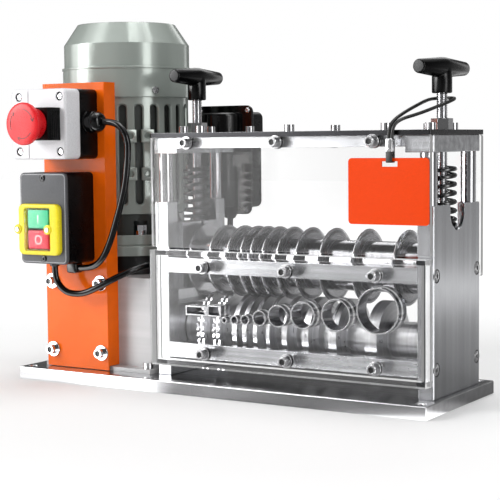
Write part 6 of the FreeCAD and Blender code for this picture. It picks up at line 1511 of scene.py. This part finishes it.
@dataclass(frozen=True)
class ControlPost:
    """The folded bracket with its screws, and the cable entries of its boxes."""

    face: float = -0.0555
    screw_columns: tuple[float, ...] = (-0.1955, -0.1345)
    screw_rows: tuple[float, ...] = (0.0296, 0.0988)
    head: tuple[float, float] = (0.005, 0.006)
    washer: float = 0.0015
    gland_start: float = -0.135
    gland_axis: tuple[float, float] = (-0.069, 0.257)
    gland_radius: float = 0.011
    gland_tip: float = -0.118

    def build(self, bench: Bench) -> None:
        """Build the boxes, the bracket's screws and the cable entries."""
        bench.dress(ORANGE, "control_bracket")
        StopButton().build(bench)
        SwitchBox().build(bench)
        self.build_screws(bench)
        self.build_entries(bench)

    def build_screws(self, bench: Bench) -> None:
        """Set the four socket screws on their wide washers."""
        screws, well_shades = [], []
        for x in self.screw_columns:
            for z in self.screw_rows:
                seat = (x, self.face - self.washer, z)
                screws.append(socket_screw(seat, FRONT, self.head))
                well_shades.append(socket_well(seat, FRONT, self.head))
        bench.piece("bracket_screws", joined(*screws), NICKEL, Body.FRAME, stands_for="control_screws")
        # The wells of the sockets are filled with painted shade.
        bench.piece("bracket_screw_well_shades", joined(*well_shades), SOCKET_SHADE, Body.FRAME)

    def build_entries(self, bench: Bench) -> None:
        """Mould the domed gland with its nut, the elbow, the grommet and the rear gland."""
        y, z = self.gland_axis
        wide = self.gland_radius
        tip = self.gland_tip - self.gland_start
        slim = wide - 0.0066
        rise, shrink = tip - 0.0088, wide - 0.0006 - slim
        angles = [step * math.pi / 20 for step in range(11)]
        round_over = [(0.0088 + rise * math.sin(angle), slim + shrink * math.cos(angle)) for angle in angles]
        dome = turned(
            [(0.0, 0.0), (0.0, wide), (0.0012, wide), (0.0014, wide - 0.0008), (0.0022, wide - 0.0008),
             (0.0024, wide - 0.0002), (0.0084, wide - 0.0002)] + round_over + [(tip, 0.0)],
            (self.gland_start, y, z), RIGHT, 72,
        )
        elbow = box((-0.162, -0.075, 0.1095), (-0.150, -0.063, 0.1206), 0.0022, 4)
        collar = turned(
            ((0.0, 0.0), (0.0, 0.0044), (0.0008, 0.005), (0.0022, 0.005), (0.0026, 0.0044), (0.0030, 0.005),
             (0.0044, 0.005), (0.0044, 0.0)),
            (-0.176, -0.075, 0.116), UP, 40,
        )
        rear = turned(
            ((0.0, 0.0), (0.0, 0.0046), (0.0006, 0.0054), (0.0026, 0.0066), (0.0050, 0.0072), (0.0052, 0.0)),
            (-0.082, 0.104, 0.156), UP, 40,
        )
        nut = prism((-0.082, 0.104, 0.161), UP, 0.008, 0.0070, 6)
        bench.piece(
            "cable_entries", joined(dome, elbow, collar, rear, nut), BLACK_GLOSS, Body.FRAME, 34.0,
            stands_for="cable_glands",
        )


@dataclass(frozen=True)
class Guards:
    """The clear guards with plain channel numbers under the wire guides."""

    front: float = -0.0595
    number_height: float = 0.0625
    type_size: float = 0.0044
    channels: tuple[float, ...] = (
        -0.0145, 0.0055, 0.0165, 0.0275, 0.039, 0.0545, 0.074, 0.100, 0.1335, 0.1745,
    )

    def build(self, bench: Bench) -> None:
        """Dress the sheets and print the numbers."""
        for name in ("upper_guard", "lower_guard", "rear_guard"):
            bench.dress(ACRYLIC, name)
            bench.nodes[name].visible_shadow = False
        prints = []
        for number, x in enumerate(self.channels, start=1):
            place = Matrix.Translation((x, self.front, self.number_height)) @ Matrix.Rotation(math.pi / 2, 4, "X")
            prints.append(lettering(str(number), self.type_size, 0.0002, place))
        bench.piece("channel_numbers", joined(*prints), PRINT_DARK, Body.FRAME)


@dataclass(frozen=True)
class GuardScrews:
    """The socket screws of the guards, with their washers and the sleeves behind the sheets."""

    upper_places: tuple[float, ...] = (-0.0306, 0.067, 0.1646)
    lower_places: tuple[float, ...] = (-0.01035, 0.07935, 0.16905)
    upper_rows: tuple[float, ...] = (0.236,)
    lower_rows: tuple[float, ...] = (0.038, 0.1195)
    back_rows: tuple[float, ...] = (0.236, 0.1195)
    sheet: float = 0.005
    head: tuple[float, float] = (0.0046, 0.0063)
    washer: tuple[float, float] = (0.00625, 0.0014)
    sleeve: float = 0.0045
    bracket_sheet: float = 0.002
    bracket_depth: float = 0.0175

    def build(self, bench: Bench) -> None:
        """Set the screws of the three guards and the washers and sleeves of the bracket."""
        sets = (
            (self.upper_places, self.upper_rows, FRONT, -0.054, -0.046),
            (self.lower_places, self.lower_rows, FRONT, -0.0595, -0.046),
            (self.upper_places, self.back_rows, BACK, 0.062, 0.054),
        )
        screws, well_shades, sleeves = [], [], []
        for places, rows, way, face, bar in sets:
            for x in places:
                for z in rows:
                    seat = (x, face, z)
                    raised = (x, face + way.y * self.washer[1], z)
                    screws.append(socket_screw(seat, way, self.head, self.washer))
                    well_shades.append(socket_well(raised, way, self.head))
                    sleeves.append(self.build_sleeve(x, face - way.y * self.sheet, z, way, bar))
        deep, sheet = self.bracket_sheet - self.bracket_depth, -self.bracket_sheet
        for x in ControlPost.screw_columns:
            for z in ControlPost.screw_rows:
                sleeves.append(turned(
                    ((deep, 0.0), (deep, 0.0055), (sheet, 0.0055), (sheet, 0.0)), (x, ControlPost.face, z), FRONT, 40,
                ))
                sleeves.append(turned(
                    ((0.0, 0.0), (0.0, 0.0075), (0.0002, 0.00775), (0.0012, 0.00775), (0.0015, 0.0075), (0.0015, 0.0)),
                    (x, ControlPost.face, z), FRONT, 56,
                ))
        bench.piece("guard_socket_screws", joined(*screws), NICKEL, Body.FRAME, stands_for="guard_screws")
        # The wells of the sockets are filled with painted shade.
        bench.piece("guard_screw_well_shades", joined(*well_shades), SOCKET_SHADE, Body.FRAME)
        bench.piece("turned_spacers", joined(*sleeves), NICKEL, Body.FRAME, stands_for="spacers")

    def build_sleeve(self, x: float, start: float, z: float, way: Vector, bar: float) -> Shape:
        """Turn the sleeve between a sheet and its bar, with a collar at the sheet."""
        length = abs(bar - start)
        wide = self.washer[0]
        return turned(
            ((0.0, 0.0), (0.0, wide - 0.0002), (0.0002, wide), (0.0009, wide), (0.0011, wide - 0.0002),
             (0.0011, self.sleeve), (length, self.sleeve), (length, 0.0)),
            (x, start, z), -way, 40,
        )


@dataclass(frozen=True)
class MotorBody:
    """The motor's ribbed body with its upright slots and the pads for its feet."""

    axis: tuple[float, float] = (-0.165, 0.034)
    low: float = 0.165
    high: float = 0.2824
    radius: float = 0.063
    slots: int = 24
    first_angle: float = 2.0
    slot_low: float = 0.175
    slot_high: float = 0.2744
    slot_width: float = 0.0076
    slot_depth: float = 0.0065
    flare: float = 0.0016
    pad_angle: float = 46.5
    pad_levels: tuple[float, float] = (0.2054, 0.2433)
    pad_shift: float = 0.009
    pad_size: float = 0.013
    pad_reach: float = 0.0665
    pad_hole: float = 0.003

    def build(self, bench: Bench) -> None:
        """Cut the slots out of the body and set the pads on its ribs."""
        low, high, wide, bore, shield, inner = self.low, self.high, self.radius, 0.00805, 0.06445, 0.052
        profile = (
            (low, bore), (low, wide - 0.0006), (low + 0.0006, wide), (high, wide), (high, shield),
            (high + 0.0116, shield), (high + 0.0116, bore), (high + 0.0036, bore), (high + 0.0036, inner),
            (high - 0.024, inner), (high - 0.024, 0.032), (low + 0.024, 0.032), (low + 0.024, inner),
            (low + 0.008, inner), (low + 0.008, bore), (low, bore),
        )
        body = turned(profile, (*self.axis, 0.0), UP, 144)
        tools = [self.slot(self.first_angle + 360 * step / self.slots) for step in range(self.slots)]
        body = carved(body, *tools)
        pads = [self.pad(level, side * self.pad_shift) for level in self.pad_levels for side in (-1, 1)]
        bench.piece(
            "ribbed_motor_body", joined(body, *pads), MOTOR_PAINT, Body.FRAME, 26.0,
            stands_for="motor_body",
        )

    def around(self, angle: float) -> Matrix:
        """Return the place on the motor's axis, turned so that -Y points outwards at an angle."""
        return Matrix.Translation((*self.axis, 0.0)) @ Matrix.Rotation(math.radians(angle), 4, "Z")

    def slot(self, angle: float) -> Shape:
        """Make the tool for one slot, with a flared mouth."""
        half, skin, flare = self.slot_width / 2, -self.radius, self.flare
        low, high = self.slot_low, self.slot_high
        groove = slab(
            (-half, skin - 0.001, low), (half, skin + self.slot_depth, high), half * 0.96, 0.0001, segments=6,
        )
        mouth = slab(
            (-half - flare, skin - 0.0006, low - flare), (half + flare, skin + 0.0018, high + flare), half, 0.0001,
            segments=6,
        )
        middle, tall = (low + high) / 2, high - low
        for vert in mouth.verts:
            if vert.co.y > skin + 0.001:
                vert.co.x *= half / (half + flare)
                vert.co.z = middle + (vert.co.z - middle) * tall / (tall + 2 * flare)
        tool = joined(groove, mouth)
        bmesh.ops.transform(tool, matrix=self.around(angle), verts=tool.verts)
        return tool

    def pad(self, level: float, shift: float) -> Shape:
        """Make one pad with its screw hole."""
        half = self.pad_size / 2
        face = -self.pad_reach
        block = box((shift - half, face, level - half), (shift + half, -0.055, level + half), 0.0007, 2)
        hole = turned(
            ((-0.001, 0.0), (-0.001, self.pad_hole + 0.0016), (0.0, self.pad_hole + 0.0009), (0.0009, self.pad_hole),
             (0.008, self.pad_hole), (0.008, 0.0)),
            (shift, face, level), BACK, 36,
        )
        block = carved(block, hole)
        bmesh.ops.transform(block, matrix=self.around(self.pad_angle), verts=block.verts)
        return block


@dataclass(frozen=True)
class TagHanger:
    """The metal ferrule on the strap and the loop that holds the tag."""

    ferrule: tuple[float, float] = (0.2262, 0.2382)
    loop_top: float = 0.2275

    def build(self, bench: Bench) -> None:
        """Crimp the ferrule and bend the loop through the tag's slot."""
        bench.dress(TAG_ORANGE, "hang_tag")
        low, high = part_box("tag_ferrule")
        x, y = (low.x + high.x) / 2, (low.y + high.y) / 2
        wide, deep = (high.x - low.x) / 2, (high.y - low.y) / 2
        start, end = self.ferrule
        tube = box((x - wide, y - deep, start), (x + wide, y + deep, end), 0.0011, 4)
        crimps = [
            box((x - wide - 0.001, y - deep - 0.001, level), (x + wide + 0.001, y - deep + 0.0003, level + 0.0009))
            for level in (start + 0.0030, start + 0.0075)
        ]
        bench.piece(
            "strap_ferrule", carved(tube, *crimps), NICKEL, Body.FRAME, 40.0, stands_for="tag_ferrule",
        )
        loop = box((x - 0.0030, y - deep, low.z), (x + 0.0030, y + deep, self.loop_top), 0.0008, 3)
        slot = box((x - 0.004, y - deep + 0.001, low.z + 0.001), (x + 0.004, y + deep - 0.001, self.loop_top - 0.003))
        bench.piece(
            "tag_hanging_loop", carved(loop, slot), STRAP_BLACK, Body.FRAME, 40.0,
            stands_for="tag_ferrule",
        )


@dataclass(frozen=True)
class CapacitorBox:
    """The black box beside the motor, with its cover screws."""

    screw_places: tuple[tuple[float, float], ...] = (
        (-0.1093, 0.2688), (-0.0504, 0.2688), (-0.1093, 0.1668), (-0.0504, 0.1668),
    )
    front: float = 0.086
    head: tuple[float, float] = (0.0021, 0.0012)
    washer: tuple[float, float] = (0.0029, 0.0004)

    def build(self, bench: Bench) -> None:
        """Dress the box and set the screws of its cover."""
        bench.dress(BLACK_BOX, "capacitor_box")
        bench.dress(BLACK_GLOSS, "capacitor_cover")
        screws = [
            socket_screw((x, self.front, z), FRONT, self.head, self.washer)
            for x, z in self.screw_places
        ]
        bench.piece("capacitor_cover_screws", joined(*screws), NICKEL, Body.FRAME)


@dataclass(frozen=True)
class EndScrews:
    """The domed ends of the countersunk screws in the end blocks, each in a ring of painted shade."""

    faces: tuple[float, float] = (-0.0725, 0.219)
    rows: tuple[float, float] = (0.038, 0.1195)
    columns: tuple[float, float] = (-0.040, 0.048)
    radius: float = 0.006

    def build(self, bench: Bench) -> None:
        """Set a domed disc on each screw and a ring of painted shade round it."""
        discs, rims = [], []
        edge = self.radius
        for face, way in zip(self.faces, (LEFT, RIGHT)):
            for y in self.columns:
                for z in self.rows:
                    seat = (face - way.x * 0.0004, y, z)
                    disc = turned(
                        ((-0.0002, 0.0), (-0.0002, edge - 0.0008), (0.0002, edge - 0.0008), (0.0006, edge - 0.0018),
                         (0.0009, edge * 0.45), (0.0010, 0.0)),
                        seat, way, 40,
                    )
                    discs.append(carved(disc, prism(seat, way, 0.0022, 0.002, 6)))
                    rims.append(turned(
                        ((-0.0002, edge - 0.0008), (0.00015, edge - 0.0008), (0.00045, edge + 0.0002),
                         (-0.0002, edge + 0.0002), (-0.0002, edge - 0.0008)),
                        seat, way, 40,
                    ))
        bench.piece("end_screw_discs", joined(*discs), NICKEL, Body.FRAME, 40.0)
        # The dark rims are painted shade in the gap round each screw.
        bench.piece("end_screw_rim_shades", joined(*rims), SOCKET_SHADE, Body.FRAME)


@dataclass(frozen=True)
class Machine:
    """The sub-assemblies whose solids need no more than their finishes."""

    def build(self, bench: Bench) -> None:
        """Dress the solids."""
        bench.dress(BASE_STEEL, "base_plate")
        bench.dress(
            NICKEL, "frame_screws", "top_screws", "adjusting_nuts", "motor_screws", "flat_guides", "small_guides",
            "medium_guides", "large_guides",
        )
        bench.dress(END_ALLOY, "left_end_block", "right_end_block", "lower_bearing_blocks", "upper_bearing_blocks")
        bench.dress(BAR_ALLOY, "top_frame", "tie_bars")
        bench.dress(POLISHED, "feed_bearings", "carriage_bearings", "guide_columns")
        bench.dress(TOP_STEEL, "top_plate")
        bench.dress(GEARBOX_ALLOY, "gearbox_housing")
        bench.dress(ADAPTER_PAINT, "motor_adapter")
        bench.dress(MOTOR_PAINT, "motor_flange", "fan_cover")
        bench.dress(SHAFT_STEEL, "blade_shaft")
        bench.dress(BLADE_STEEL, "blades")
        bench.dress(FEED_STEEL, "feed_roller")
        bench.dress(BRONZE, "worm_wheel")
        bench.dress(ROTOR_STEEL, "motor_rotor")
        bench.dress(FAN_BLACK, "cooling_fan")


def main() -> None:
    """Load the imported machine, dress it and build its pieces in order."""
    logging.basicConfig(level=logging.INFO, format="%(message)s")
    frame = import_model()
    bpy.context.scene.view_settings.view_transform = "Standard"
    Studio().build()
    bench = Bench(frame["nodes"])
    Cables().build(bench)
    for assembly in (
        Machine(), EndScrews(), MotorBody(), Guards(), GuardScrews(), LiftingScrews(), ControlPost(), CapacitorBox(),
        TagHanger(),
    ):
        LOG.info("assembly %s", type(assembly).__name__)
        assembly.build(bench)


if __name__ == "__main__":
    main()
